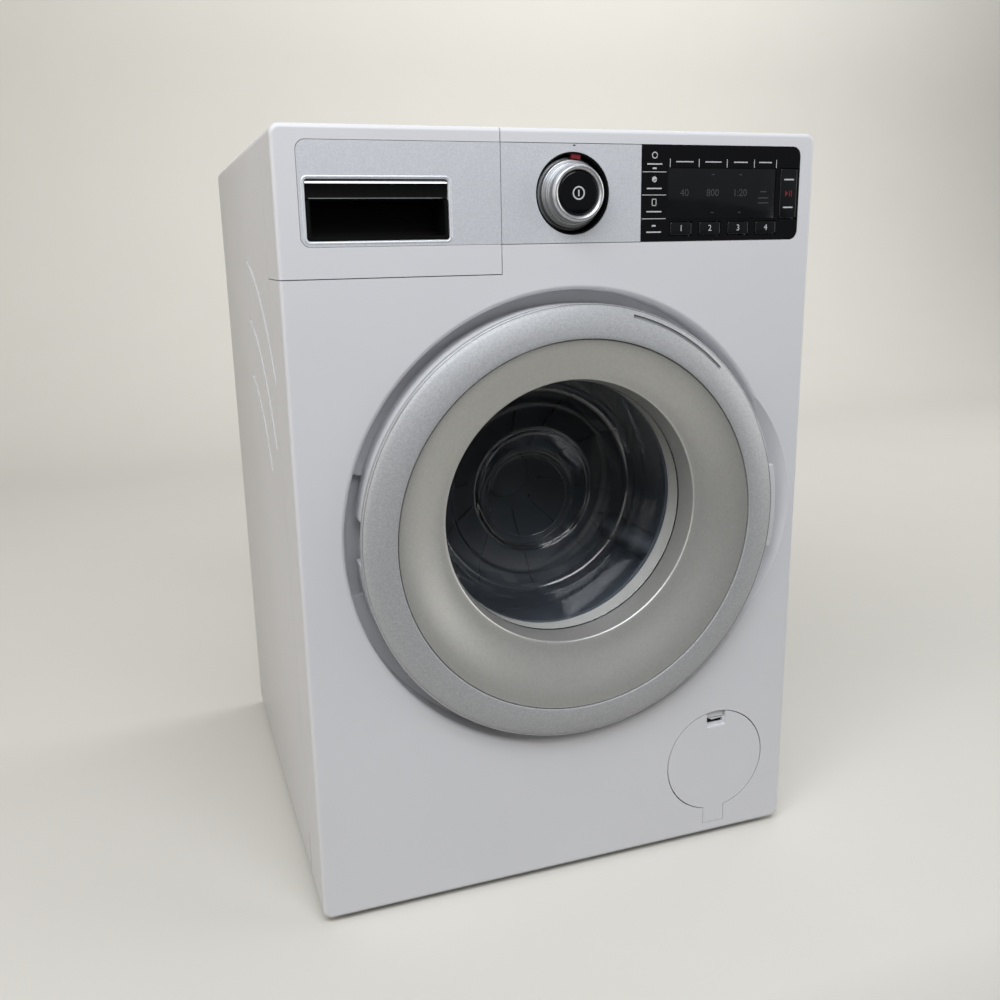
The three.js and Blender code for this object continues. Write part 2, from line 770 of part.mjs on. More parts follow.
function contactStrip(z) {
  const half = bayHalfWidth - bayMargin;
  return block(-half, half, bayFront + bayMargin, batteryDoorFront - 2 * partGap - bayMargin, z,
    z + contactThickness);
}

// The silver ring rises from its rim to the step, as a shallow crown.
function crown(radius) {
  const share = (doorRadius - radius) / ringWidth;
  return -doorEdgeProud - (doorProud - doorEdgeProud) * share * (2 - share);
}
// The grey ring dips from the step down to the opening: a point at a share of that way, behind its face.
const dishFrontShares = [0, 0.35, 0.7, 0.96];
const dishBackShares = [0, 0.45, 0.9];
function dish(share, behind) {
  const ease = share * share * (3 - 2 * share);
  const rest = 1 - (share + ease) / 2;
  const radius = stepRadius - share * (stepRadius - openingRadius);
  return [radius, behind - (doorProud - dishStep) * rest, openingLift * share];
}

function doorRing() {
  const crownShares = [0.06, 0.45, 0.94];
  const front = crownShares.map((share) => doorRadius - share * ringWidth);
  const back = [stepRadius + partGap, doorRadius - ringThickness];
  const skirtDepth = ringSkirt - doorEdgeProud;
  const points = [
    [doorRadius, -doorEdgeProud + ringEdgeRadius],
    ...front.map((radius) => [radius, crown(radius)]),
    [stepRadius + partGap, -doorProud + ringEdgeRadius],
    ...back.map((radius) => [radius, crown(radius) + ringThickness]),
    [doorRadius - ringThickness, skirtDepth],
    [doorRadius, skirtDepth],
  ];
  const slot = ringSector(ringSlotRadius - ringSlotWidth / 2, ringSlotRadius + ringSlotWidth / 2,
    ringSlotStart, ringSlotEnd);
  const slotFloor = crown(ringSlotRadius) + ringSlotDepth;
  return cut(turned(points), plate(slot, -doorProud - overrun, slotFloor, 0, 5));
}

function doorInnerRing() {
  const throatEnd = doorBack - partGap;
  const points = [
    ...dishFrontShares.map((share) => dish(share, 0)),
    [openingRadius, ringEdgeRadius, openingLift],
    [openingRadius - throatTaper, throatEnd, openingLift],
    [openingRadius - throatTaper + dishThickness, throatEnd, openingLift],
    ...[...dishBackShares].reverse().map((share) => dish(share, dishThickness)),
  ];
  return turned(points);
}

// Clear bowl: a flange behind the throat, a tapered wall, a step and a round cup in the middle.
function doorBowl() {
  const mouth = openingRadius - throatTaper;
  const front = doorBack + partGap;
  const wallEnd = mouth - bowlTaper;
  const flange = mouth + bowlFlangeWidth;
  const lift = openingLift;
  const inside = [
    [bowlDiscRadius, bowlDepth + bowlCupDepth, 0],
    [bowlCupRadius, bowlDepth, lift],
    [bowlStepRadius, bowlDepth, lift],
    [bowlStepRadius + bowlStepHeight, bowlDepth + bowlStepHeight, lift],
    [wallEnd - bowlShoulder, bowlDepth + bowlStepHeight, lift],
    [wallEnd, bowlDepth - bowlShoulder, lift],
    [mouth, front, lift],
  ];
  const outside = [
    [flange, front, lift],
    [flange, front + bowlWall, lift],
    [mouth + bowlWall, front + bowlWall, lift],
    [wallEnd + bowlWall, bowlDepth - bowlShoulder + bowlWall / 2, lift],
    [wallEnd - bowlShoulder + bowlWall / 2, bowlDepth + bowlStepHeight + bowlWall, lift],
    [bowlCupRadius + bowlWall / 2, bowlDepth + bowlStepHeight + bowlWall, lift],
    [bowlDiscRadius + bowlWall / 2, bowlDepth + bowlCupDepth + bowlWall, 0],
    [0, bowlDepth + bowlCupDepth + bowlWall, 0],
  ];
  return turned([[0, bowlDepth + bowlCupDepth, 0], ...inside, ...outside], drumSides);
}

// White body behind the rings, with the pull tab, the hinge notch and the latch tongue.
function doorBody() {
  const outer = doorRadius - bodyInset;
  const inner = openingRadius + dishThickness + partGap;
  const rimFront = ringSkirt - doorEdgeProud + partGap;
  const landOuter = doorRadius - ringThickness - partGap;
  const landInner = stepRadius + partGap;
  const behindRing = ringThickness + partGap;
  const behindDish = dishThickness + partGap;
  const points = [
    [outer, rimFront, 0],
    [landOuter, rimFront, 0],
    [landOuter, crown(landOuter) + behindRing, 0],
    [landInner, crown(landInner) + behindRing, 0],
    ...dishBackShares.map((share) => dish(share, behindDish)).map(([r, y, lift]) => [Math.max(r, inner), y, lift]),
    [inner, doorBack, openingLift],
    [outer, doorBack, 0],
  ];
  const ring = turned(points);
  const tabDisc = bar(0, 0, doorRadius + tabReach, rimFront, rimFront + tabThickness, largeSides);
  const tabBand = block(stepRadius, doorRadius + tabReach + overrun, rimFront, rimFront + tabThickness,
    -tabHalfHeight, tabHalfHeight);
  const tongue = block(tongueRadius - tongueThickness / 2, tongueRadius + tongueThickness / 2, rimFront,
    doorBack + tongueLength, -tongueHalfHeight, tongueHalfHeight);
  const axisX = hingeInset - doorRadius;
  const notchHalf = knuckleHalfHeight + partGap;
  const notch = block(-doorRadius - overrun, axisX + hingeNotchReach, -doorProud, doorBack + overrun,
    hingeLift - notchHalf, hingeLift + notchHalf);
  const pinHalf = hingePinHalfLength + partGap;
  const bore = uprightBar(axisX, -hingeProud, hingePinRadius + pinPlay, hingeLift - pinHalf, hingeLift + pinHalf,
    smallSides);
  return cut(join(ring, tabDisc.intersect(tabBand), tongue), notch, bore);
}

function hingePin() {
  return uprightBar(hingeX, -hingeProud, hingePinRadius, hingeZ - hingePinHalfLength, hingeZ + hingePinHalfLength,
    smallSides);
}

// The fixed half of the hinge: a knuckle on an arm that comes forward through the slot.
function hingeBracket() {
  const plateFront = floorBack + partGap;
  const armLeft = hingeX - knuckleRadius + hingeArmSetback;
  const [low, high] = [hingeZ - knuckleHalfHeight, hingeZ + knuckleHalfHeight];
  const knuckle = uprightBar(hingeX, -hingeProud, knuckleRadius, low, high, smallSides);
  const arm = block(armLeft, hingeX + knuckleRadius, -hingeProud, plateFront + hingePlateThickness, low, high);
  const halfPlate = hingeSlotHalfHeight + hingePlateMargin;
  const base = block(doorOffset - slotOuterRadius - hingePlateMargin, hingeX + knuckleRadius + hingePlateReach,
    plateFront, plateFront + hingePlateThickness, hingeZ - halfPlate, hingeZ + halfPlate);
  const bore = uprightBar(hingeX, -hingeProud, hingePinRadius + pinPlay, low - overrun, high + overrun, smallSides);
  return cut(join(knuckle, arm, base), bore);
}

// A clip behind the recess floor that grips the latch tongue.
function doorCatch() {
  const tongue = doorOffset + tongueRadius;
  const left = tongue - tongueThickness / 2 - partGap;
  const right = tongue + tongueThickness / 2 + tongueSwing;
  const front = floorBack + partGap;
  const half = tongueHalfHeight + tongueSwing + 2 * catchWall;
  const body = block(left - catchWall, right + catchWall, front, front + catchDepth, doorHeight - half,
    doorHeight + half);
  const inner = half - catchWall;
  const gap = block(left, right, front - overrun, front + catchDepth + overrun, doorHeight - inner,
    doorHeight + inner);
  return cut(body, gap);
}

function doorGasket() {
  const front = openingBack;
  const seat = floorBack + partGap;
  const outer = shellOpeningRadius - partGap;
  const inner = outer - gasketWall - partGap;
  const back = seat + gasketLength;
  const points = [
    [inner - gasketLip / 2, front],
    [outer, front],
    [outer, seat],
    [outer + gasketFlange, seat],
    [outer + gasketFlange, seat + gasketFlangeThickness],
    [outer - gasketLip / 2, seat + gasketFlangeThickness],
    [drumMouthRadius + gasketWall, back],
    [drumMouthRadius, back],
    [inner - gasketLip / 2, seat + gasketFlangeThickness],
  ];
  return turned(points, drumSides);
}

const gasketBack = floorBack + partGap + gasketLength;
const drumFront = gasketBack + drumMouthGap;
const drumBack = drumFront + drumLength;
const tubInside = drumBack + drumBossHeight + tubBackGap;
const tubBack = tubInside + tubWall;
const bushRadius = shaftRadius + shaftPlay + bushWall;
const hubBack = tubBack + hubLength;

function drumTub() {
  const seat = floorBack + partGap;
  const gasketEdge = shellOpeningRadius + gasketFlange + tubSeatGap;
  const frontPlate = seat + gasketFlangeThickness + partGap;
  const outer = tubRadius;
  const mouth = shellOpeningRadius;
  const points = [
    [gasketEdge, seat],
    [outer + tubFlangeWidth, seat],
    [outer + tubFlangeWidth, frontPlate],
    [outer, frontPlate],
    [outer, tubBack],
    [bushRadius + partGap + hubWall, tubBack],
    [bushRadius + partGap + hubWall, hubBack],
    [bushRadius + partGap, hubBack],
    [bushRadius + partGap, tubInside],
    [outer - tubWall, tubInside],
    [outer - tubWall, frontPlate + tubWall],
    [mouth, frontPlate + tubWall],
    [mouth, frontPlate],
    [gasketEdge, frontPlate],
  ];
  const flat = outer + partGap;
  const sides = [-1, 1].map((side) => block(side > 0 ? flat : -farAway, side > 0 ? farAway : -flat,
    seat - overrun, frontPlate + overrun, -farAway, farAway));
  return cut(turned(points, mediumSides), ...sides);
}

// Drum: a wall with a lip, lifters along it, and a ribbed back round the hub.
function drum() {
  const inside = drumRadius - drumWall;
  const floor = drumBack - drumBackWall;
  const bore = shaftRadius + pinPlay;
  const points = [
    [drumMouthRadius, drumFront],
    [drumRadius, drumFront],
    [drumRadius, drumBack - drumBackWall / 2],
    [drumRadius - drumBackWall / 2, drumBack],
    [drumBossRadius, drumBack],
    [drumBossRadius, drumBack + drumBossHeight],
    [bore, drumBack + drumBossHeight],
    [bore, floor - drumHubHeight + drumWall],
    [drumHubRadius, floor - drumHubHeight + drumWall],
    [drumHubRadius + drumWall, floor],
    [inside, floor],
    [inside, drumFront + drumWall],
    [drumMouthRadius, drumFront + drumWall],
  ];
  const shell = turned(points, drumSides);
  const cap = bar(0, 0, drumHubRadius, floor - drumHubHeight, floor - drumHubHeight + drumWall, drumSides);
  const foot = inside + drumWall / 2;
  const lifter = new THREE.Shape([[foot, -lifterHalfWidth], [foot, lifterHalfWidth],
    [inside - lifterHeight, lifterTipHalfWidth], [inside - lifterHeight, -lifterTipHalfWidth]]
    .map(([x, z]) => new THREE.Vector2(x, z)));
  const lifters = Array.from({ length: lifterCount }, (_, i) => plate(lifter, drumFront + drumWall / 2,
    floor + drumWall / 4).rotate([0, (i * 360) / lifterCount + 90, 0]));
  const ribInner = drumHubRadius + ribInset;
  const ribs = Array.from({ length: ribCount }, (_, i) => block(ribInner, inside - drumWall, floor - ribHeight,
    floor + drumWall / 2, -ribHalfWidth, ribHalfWidth).rotate([0, ((i + 0.5) * 360) / ribCount, 0]));
  return join(shell, cap, ...lifters, ...ribs);
}

const drumGearFront = hubBack + gearGap;
const wheelFront = drumGearFront + gearFace + gearGap;
const gearPlateFront = wheelFront + gearFace + gearGap;
const idlerDistance = ((drumTeeth + idlerPinionTeeth) * slowModule) / 2;
const motorDistance = ((idlerWheelTeeth + motorTeeth) * fastModule) / 2;
const motorX = motorDistance * Math.cos(motorAngle);
const motorZ = -idlerDistance + motorDistance * Math.sin(motorAngle);

function drumShaft() {
  return bar(0, 0, shaftRadius, drumBack - drumBackWall - drumHubHeight + drumWall + partGap,
    gearPlateFront + plateThickness, bearingSides);
}
function drumBush() {
  const inner = shaftRadius + shaftPlay;
  return turned([[inner, tubInside + partGap], [bushRadius, tubInside + partGap], [bushRadius, hubBack],
    [inner, hubBack]], bearingSides);
}

// The outline of a spur gear, with a tooth on +X: flanks run straight between two points of the involute.
function gearOutline(teeth, module) {
  const pitch = (teeth * module) / 2;
  const base = pitch * Math.cos(pressureAngle);
  const involute = (angle) => Math.tan(angle) - angle;
  const pitchHalf = Math.PI / (2 * teeth) - toothPlay / pitch + involute(pressureAngle);
  const halfTooth = (radius) => pitchHalf - involute(Math.acos(Math.min(1, base / Math.max(radius, base))));
  const radii = [pitch - dedendumShare * module, pitch + addendumShare * module];
  const points = [];
  for (let tooth = 0; tooth < teeth; tooth += 1) {
    const middle = (tooth * 2 * Math.PI) / teeth;
    const up = radii.map((radius) => [radius, middle - halfTooth(radius)]);
    const down = [...radii].reverse().map((radius) => [radius, middle + halfTooth(radius)]);
    points.push(...up, ...down);
  }
  return new THREE.Shape(points.map(([radius, angle]) => new THREE.Vector2(radius * Math.cos(angle),
    radius * Math.sin(angle))));
}

// A gear between two depths; turn swings the tooth that stood on +X towards +Z, in radians.
function gear(teeth, module, y0, y1, turn) {
  return plate(gearOutline(teeth, module), y0, y1).rotate([0, -THREE.MathUtils.radToDeg(turn), 0]);
}
// The turn that puts a gap of the follower against a tooth of the driver, seen along the line at angle.
const meshTurn = (teeth, angle) => angle + Math.PI + Math.PI / teeth;

function drumGear() {
  const wheel = gear(drumTeeth, slowModule, drumGearFront, drumGearFront + gearFace, -Math.PI / 2);
  const boss = bar(0, 0, shaftRadius + hubWall, drumGearFront - gearGap / 2, drumGearFront + gearFace, smallSides);
  const bore = bar(0, 0, shaftRadius + pinPlay, drumGearFront - overrun, drumGearFront + gearFace + overrun,
    smallSides);
  return cut(join(wheel, boss), bore);
}

// Wheel and pinion of the idler are one moulding.
function idlerGear() {
  const pinion = gear(idlerPinionTeeth, slowModule, drumGearFront - gearGap / 4, wheelFront + gearGap / 2,
    meshTurn(idlerPinionTeeth, -Math.PI / 2));
  const wheel = gear(idlerWheelTeeth, fastModule, wheelFront, wheelFront + gearFace, motorAngle);
  const hub = bar(0, 0, idlerHubRadius, wheelFront, wheelFront + gearFace + gearGap / 2, smallSides);
  const bore = bar(0, 0, idlerPinRadius + shaftPlay, 0, caseDepth, bearingSides);
  return cut(join(pinion, wheel, hub), bore);
}
function idlerPin() {
  return bar(0, 0, idlerPinRadius, tubBack + partGap, gearPlateFront + plateThickness, bearingSides);
}
function motorPinion() {
  const teeth = gear(motorTeeth, fastModule, wheelFront - gearGap / 4, wheelFront + gearFace,
    meshTurn(motorTeeth, motorAngle));
  const bore = bar(0, 0, motorShaftRadius + pinPlay, 0, caseDepth, bearingSides);
  return cut(teeth, bore);
}

// Motor can with a bore for the shaft that carries the pinion.
function driveMotor() {
  const front = gearPlateFront + plateThickness + partGap;
  const can = bar(0, 0, motorRadius, front, front + motorLength, smallSides);
  const flat = motorRadius * motorFlatShare;
  const flats = [-1, 1].map((side) => block(-farAway, farAway, front, front + motorLength,
    side > 0 ? flat : -farAway, side > 0 ? farAway : -flat));
  const boss = bar(0, 0, motorBossRadius, front - plateThickness, front, smallSides);
  const bore = bar(0, 0, motorShaftRadius + shaftPlay, 0, front + motorShaftReach + partGap, bearingSides);
  return cut(join(cut(can, ...flats), boss), bore);
}
function motorShaft() {
  const back = gearPlateFront + plateThickness + partGap + motorShaftReach;
  return bar(0, 0, motorShaftRadius, wheelFront, back, bearingSides);
}

// Plate behind the gears, on three pillars that stand on the tub.
const pillarPlaces = [[-pillarSpan, pillarRise], [pillarSpan, pillarRise], [-pillarFootSpan, -pillarDrop]];
function gearPlate() {
  const y0 = gearPlateFront;
  const y1 = gearPlateFront + plateThickness;
  const outline = new THREE.Shape();
  const top = pillarRise + plateMargin;
  const bottom = motorZ - motorRadius;
  const edge = pillarSpan + plateMargin;
  outline.moveTo(-edge, top);
  outline.lineTo(-edge, pillarRise - plateMargin);
  outline.lineTo(-pillarFootSpan - plateMargin, -pillarDrop - plateMargin);
  outline.lineTo(0, bottom);
  outline.lineTo(motorX + motorRadius, bottom);
  outline.lineTo(edge, pillarRise - plateMargin);
  outline.lineTo(edge, top);
  const pillars = pillarPlaces.map(([x, z]) => bar(x, z, pillarRadius, tubBack + partGap, y1, tinySides));
  return cut(
    join(plate(outline, y0, y1), ...pillars),
    bar(0, 0, shaftRadius + shaftPlay, y0 - overrun, y1 + overrun, bearingSides),
    bar(0, -idlerDistance, idlerPinRadius + shaftPlay, y0 - overrun, y1 + overrun, bearingSides),
    bar(motorX, motorZ, motorBossRadius + partGap, y0 - overrun, y1 + overrun, smallSides),
  );
}

// Panel pieces, in the frame of the case
function panelFascia() {
  const outline = roundedRectangle(seamX + partGap / 2, displayLeft - partGap / 2, panelBottom, panelTop, 0);
  const hole = bar(dialX, panelMiddle, wellRadius + wellWall + partGap, -overrun, frontWall + overrun, mediumSides);
  return cut(plate(outline, 0, fasciaThickness), hole);
}
function displayPanel() {
  const r = fasciaCornerRadius;
  const outline = roundedRectangle(displayLeft, displayRight, panelBottom, panelTop, [0, r, r, 0]);
  return cut(plate(outline, 0, fasciaThickness), windowBlock(-overrun, windowPocket, pinPlay),
    keyHoles(-overrun, frontWall));
}
function windowBlock(y0, y1, grow) {
  const left = displayLeft + windowInset;
  const low = panelMiddle - windowHeight / 2;
  const right = displayRight - windowEndInset;
  return block(left - grow, right + grow, y0, y1, low - grow, low + windowHeight + grow);
}
function key(width, height) {
  const outline = roundedRectangle(-width / 2, width / 2, -height / 2, height / 2, keyCornerRadius);
  const back = frontWall + partGap;
  const cap = plate(outline, -keyProud, back + keyFlangeThickness, 0, 1);
  const flange = block(-width / 2 - keyFlange, width / 2 + keyFlange, back, back + keyFlangeThickness,
    -height / 2 - keyFlange, height / 2 + keyFlange);
  const stem = block(-keyStem / 2, keyStem / 2, back, back + keyFlangeThickness + keyStemLength, -keyStem / 2,
    keyStem / 2);
  return join(cap, flange, stem);
}

function dialWell() {
  const outer = wellRadius + wellWall;
  const seat = frontWall + partGap;
  const hole = knobStemRadius + partGap;
  return turned([
    [outer, pinPlay],
    [outer, seat],
    [outer + wellFlange, seat],
    [outer + wellFlange, seat + wellFlangeThickness],
    [outer, seat + wellFlangeThickness],
    [outer, wellDepth + wellFloor],
    [hole, wellDepth + wellFloor],
    [hole, wellDepth],
    [wellRadius, wellDepth],
    [wellRadius, pinPlay],
  ], mediumSides);
}
function selectorKnob() {
  const back = wellDepth - 2 * partGap;
  const stemEnd = back + knobStemLength;
  const bore = powerStemRadius + partGap;
  const rim = knobRadius - knobRim;
  const steps = knobSkirtRadii.flatMap((radius, i) => [
    [radius, back - i * knobSkirtHeight],
    [radius, back - (i + 1) * knobSkirtHeight],
  ]);
  return turned([
    [bore, stemEnd],
    [knobStemRadius, stemEnd],
    [knobStemRadius, back],
    ...steps,
    [knobRadius, back - 2 * knobSkirtHeight],
    [knobRadius, -knobProud + 2 * knobRound],
    [knobRadius - knobRound, -knobProud + knobRound / 2],
    [knobRadius - knobRim / 2, -knobProud],
    [rim + knobRound / 2, -knobProud + knobRound],
    [rim, -knobProud + 2 * knobRound],
    [rim, knobBoreDepth],
    [bore, knobBoreDepth],
  ], mediumSides);
}
function powerButton() {
  const rim = knobRadius - knobRim - partGap;
  const stemEnd = wellDepth - 2 * partGap + knobStemLength - powerTravel + partGap;
  return turned([
    [0, -powerProud],
    [rim - knobRound, -powerProud],
    [rim, -powerProud + knobRound],
    [rim, -powerProud + powerThickness],
    [powerStemRadius, -powerProud + powerThickness],
    [powerStemRadius, stemEnd],
    [0, stemEnd],
  ], mediumSides);
}

// Circuit board with the switches behind the keys and the selector behind the dial.
function circuitBoard() {
  const board = block(boardLeft, boardRight, boardDepth, boardDepth + boardThickness, panelBottom, panelTop);
  const stemEnd = frontWall + partGap + keyFlangeThickness + keyStemLength;
  const button = (x, z) => block(x - switchWidth / 2, x + switchWidth / 2, stemEnd + keyTravel + partGap / 2,
    boardDepth, z - switchWidth / 2, z + switchWidth / 2);
  const selectorFront = wellDepth - partGap + knobStemLength + partGap / 2;
  const selector = block(dialX - selectorWidth / 2, dialX + selectorWidth / 2, selectorFront, boardDepth,
    panelMiddle - selectorWidth / 2, panelMiddle + selectorWidth / 2);
  return join(board, selector, button(startX, panelMiddle), ...keyPlaces.map((x) => button(x, keyZ)));
}
function speaker() {
  const back = backInside - partGap;
  const cone = turned([
    [0, back - speakerThickness],
    [speakerRadius / 2, back - speakerThickness],
    [speakerRadius / 2, back - speakerThickness / 2],
    [speakerRadius, back - speakerThickness / 4],
    [speakerRadius, back],
    [0, back],
  ], smallSides);
  return cone.translate([speakerX, 0, caseHeight - speakerDrop]);
}

// Drawer pieces, in the frame of the case
const drawerPanelLeft = -halfWidth + drawerFasciaInset;
const drawerPanelRight = seamX - partGap / 2;
const handleLeft = drawerPanelLeft + handleInset;
const handleRight = drawerPanelRight - handleEndInset;
const handleTop = panelTop - handleDrop;
const handleBottom = handleTop - handleHeight;

function handleHole(grow, y0, y1) {
  return block(handleLeft - grow, handleRight + grow, y0, y1, handleBottom - grow, handleTop + grow);
}
function drawerFront() {
  const corner = frontBlank().intersect(drawerCorner(-partGap / 2));
  const hollow = block(-halfWidth + sideWall, seamX - partGap / 2 - drawerWall, frontWall,
    frontShellDepth + overrun, seamZ + partGap / 2 + drawerWall, caseHeight - sideWall);
  const r = fasciaCornerRadius;
  const pocket = roundedRectangle(drawerPanelLeft - partGap / 2, seamX + overrun, panelBottom - partGap / 2,
    panelTop + partGap / 2, [r, 0, 0, r]);
  return cut(corner, hollow, plate(pocket, -overrun, panelPocket), handleHole(partGap, 0, frontWall + overrun));
}
function drawerFascia() {
  const r = fasciaCornerRadius;
  const outline = roundedRectangle(drawerPanelLeft, drawerPanelRight, panelBottom, panelTop, [r, 0, 0, r]);
  return cut(plate(outline, 0, fasciaThickness), handleHole(partGap, -overrun, frontWall));
}
function handleCup() {
  const cup = cut(handleHole(0, 0, handleDepth + handleWall), handleHole(-handleWall, -overrun, handleDepth));
  const ledge = block(handleLeft, handleRight, handleDepth - handleLedgeDepth, handleDepth + handleWall / 2,
    handleBottom, handleBottom + handleWall + handleLedgeHeight);
  const seat = frontWall + partGap;
  const flange = cut(handleHole(handleWall + partGap, seat, seat + handleWall), handleHole(-handleWall, 0,
    handleDepth));
  return cut(join(cup, ledge, flange), handleBarSpace());
}
// The room that the bar takes in front of the cup's top wall
function handleBarSpace() {
  const back = handleBarSetback + handleBarThickness + partGap;
  return block(handleLeft - overrun, handleRight + overrun, -overrun, back,
    handleTop - handleBarHeight - partGap, handleTop + overrun);
}
function handleBar() {
  const outline = roundedRectangle(handleLeft, handleRight, handleTop - handleBarHeight, handleTop, handleBarRound);
  return plate(outline, handleBarSetback, handleBarSetback + handleBarThickness, handleBarRound / 2, 2);
}

const guideLeft = -halfWidth + sideWall + partGap;
const guideRight = seamX - partGap + drawerWall;
const guideLow = seamZ - drawerWall;
const guideHigh = caseHeight - sideWall - partGap;
const guideBack = rearShellFront + trayLength + trayWall + guideEndRoom;

function drawerGuide() {
  const outer = block(guideLeft, guideRight, rearShellFront, guideBack, guideLow, guideHigh);
  const room = block(guideLeft + guideWall, guideRight - guideWall, rearShellFront - overrun,
    guideBack - guideWall, guideLow + guideWall, guideHigh - guideWall);
  return cut(outer, room);
}
function drawerTray() {
  const left = guideLeft + guideWall + guideGap;
  const right = guideRight - guideWall - guideGap;
  const low = guideLow + guideWall + guideGap;
  const front = rearShellFront;
  const back = front + trayLength;
  const body = block(left, right, front, back, low, low + trayHeight);
  const divider = left + (right - left) * trayDividerShare;
  const room = (x0, x1) => block(x0, x1, front + trayWall, back - trayWall, low + trayWall,
    low + trayHeight + overrun);
  const lip = block(left, right, front, front + trayWall, low, guideHigh - guideWall - guideGap);
  return join(cut(body, room(left + trayWall, divider - trayWall / 2), room(divider + trayWall / 2,
    right - trayWall)), lip);
}

// Flap pieces, round the middle of the flap
function serviceFlap() {
  const disc = bar(0, 0, flapRadius, 0, flapThickness, mediumSides);
  const tab = block(-flapTabHalfWidth, flapTabHalfWidth, 0, flapThickness, -flapTabBottom, -flapRadius / 2);
  const notch = block(-flapNotchHalfWidth, flapNotchHalfWidth, -overrun, flapThickness + overrun,
    flapNotchBottom, flapRadius + overrun);
  const reach = flapTabHalfWidth + overrun;
  const bore = crossBar(flapPinDepth, -flapPinDrop, flapPinRadius + pinPlay, -reach, reach);
  return cut(join(disc, tab), notch, bore);
}
function flapPin() {
  return crossBar(flapPinDepth, -flapPinDrop, flapPinRadius, -flapPinHalfLength, flapPinHalfLength);
}
// A round well behind the flap; a small block on it fills the top of the notch and holds the flap shut.
function filterHousing() {
  const front = frontWall + partGap;
  const inner = filterRadius;
  const outer = filterRadius + filterWall;
  const cup = turned([
    [0, front + filterDepth - filterWall],
    [inner, front + filterDepth - filterWall],
    [inner, front],
    [outer + filterFlange, front],
    [outer + filterFlange, front + filterFlangeThickness],
    [outer, front + filterFlangeThickness],
    [outer, front + filterDepth],
    [0, front + filterDepth],
  ], mediumSides);
  const half = flapNotchHalfWidth - flapCatchSide;
  const low = flapRadius - flapCatchHeight;
  const nose = block(-half, half, flapThickness / 2, front + filterFlangeThickness, low, flapRadius - flapGap);
  return join(cup, nose);
}
function filterCap() {
  const seat = frontWall + filterDepth - filterWall;
  const disc = bar(0, 0, filterCapRadius, seat - filterCapThickness, seat, smallSides);
  const grip = block(-filterGripHalfLength, filterGripHalfLength, seat - filterCapThickness - filterGripHeight,
    seat - filterCapThickness / 2, -filterGripHalfWidth, filterGripHalfWidth);
  return join(disc, grip);
}

// The assembly
const washer = new THREE.Group();
const caseFrame = frameAt(washer, 0, frontY, 0);
add(caseFrame, 'front_shell', frontShell(), whitePlastic());
add(caseFrame, 'rear_shell', rearShell(), whitePlastic());

const footPlaces = { foot_front_left: [-1, footSetback], foot_front_right: [1, footSetback],
  foot_rear_left: [-1, caseDepth - footSetback], foot_rear_right: [1, caseDepth - footSetback] };
for (const [name, [side, y]] of Object.entries(footPlaces)) {
  add(frameAt(caseFrame, side * (halfWidth - footInset), y, 0), name, foot(), rubber());
}
postPlaces.forEach(([x, z], i) => {
  const seat = frameAt(caseFrame, x, caseDepth - screwHeadHeight, z);
  add(seat, `case_screw_${i + 1}`, screw(), steel());
});

add(caseFrame, 'battery_door', batteryDoor(), whitePlastic());
add(frameAt(caseFrame, 0, caseDepth - screwHeadHeight, batteryScrewZ), 'battery_door_screw', screw(), steel());
for (let i = 0; i < batteryCount; i += 1) {
  const x = (i - (batteryCount - 1) / 2) * batteryPitch;
  const y = bayFront + bayMargin + batteryRadius;
  add(frameAt(caseFrame, x, y, 0), `battery_${i + 1}`, battery(), brass());
}
add(caseFrame, 'battery_contact_lower', contactStrip(bayFloorHeight + partGap), steel());
add(caseFrame, 'battery_contact_upper', contactStrip(bayTop - partGap - contactThickness), steel());

const doorFrame = frameAt(caseFrame, doorOffset, 0, doorHeight);
add(doorFrame, 'door_ring', doorRing(), silverPaint());
add(doorFrame, 'door_inner_ring', doorInnerRing(), greyPaint());
add(doorFrame, 'door_bowl', doorBowl(), clearPlastic());
add(doorFrame, 'door_body', doorBody(), whitePlastic());
add(caseFrame, 'door_hinge_pin', hingePin(), steel());
add(caseFrame, 'door_hinge_bracket', hingeBracket(), whitePlastic());
add(caseFrame, 'door_catch', doorCatch(), charcoalPlastic());

const drumFrame = frameAt(caseFrame, doorOffset, 0, drumAxisHeight);
add(drumFrame, 'door_gasket', doorGasket(), softGrey());
add(drumFrame, 'drum_tub', drumTub(), charcoalPlastic());
add(drumFrame, 'drum', drum(), charcoalPlastic());
add(drumFrame, 'drum_shaft', drumShaft(), steel());
add(drumFrame, 'drum_bush', drumBush(), brass());
add(drumFrame, 'drum_gear', drumGear(), gearPlastic());
add(drumFrame, 'gear_plate', gearPlate(), charcoalPlastic());
const idlerFrame = frameAt(drumFrame, 0, 0, -idlerDistance);
add(idlerFrame, 'idler_gear', idlerGear(), gearPlastic());
add(idlerFrame, 'idler_pin', idlerPin(), steel());
const motorFrame = frameAt(drumFrame, motorX, 0, motorZ);
add(motorFrame, 'motor_pinion', motorPinion(), brass());
add(motorFrame, 'motor_shaft', motorShaft(), steel());
add(motorFrame, 'drive_motor', driveMotor(), steel());

add(caseFrame, 'panel_fascia', panelFascia(), silverPaint());
add(caseFrame, 'display_panel', displayPanel(), blackPlastic());
const windowFront = windowPocket - windowThickness - pinPlay;
add(caseFrame, 'display_window', windowBlock(windowFront, windowFront + windowThickness, 0), blackPlastic());
keyPlaces.forEach((x, i) => {
  add(frameAt(caseFrame, x, 0, keyZ), `program_key_${i + 1}`, key(keyWidth, keyHeight), blackPlastic());
});
add(frameAt(caseFrame, startX, 0, panelMiddle), 'start_button', key(startWidth, startHeight), blackPlastic());
add(caseFrame, 'circuit_board', circuitBoard(), boardGreen());
add(caseFrame, 'speaker', speaker(), charcoalPlastic());

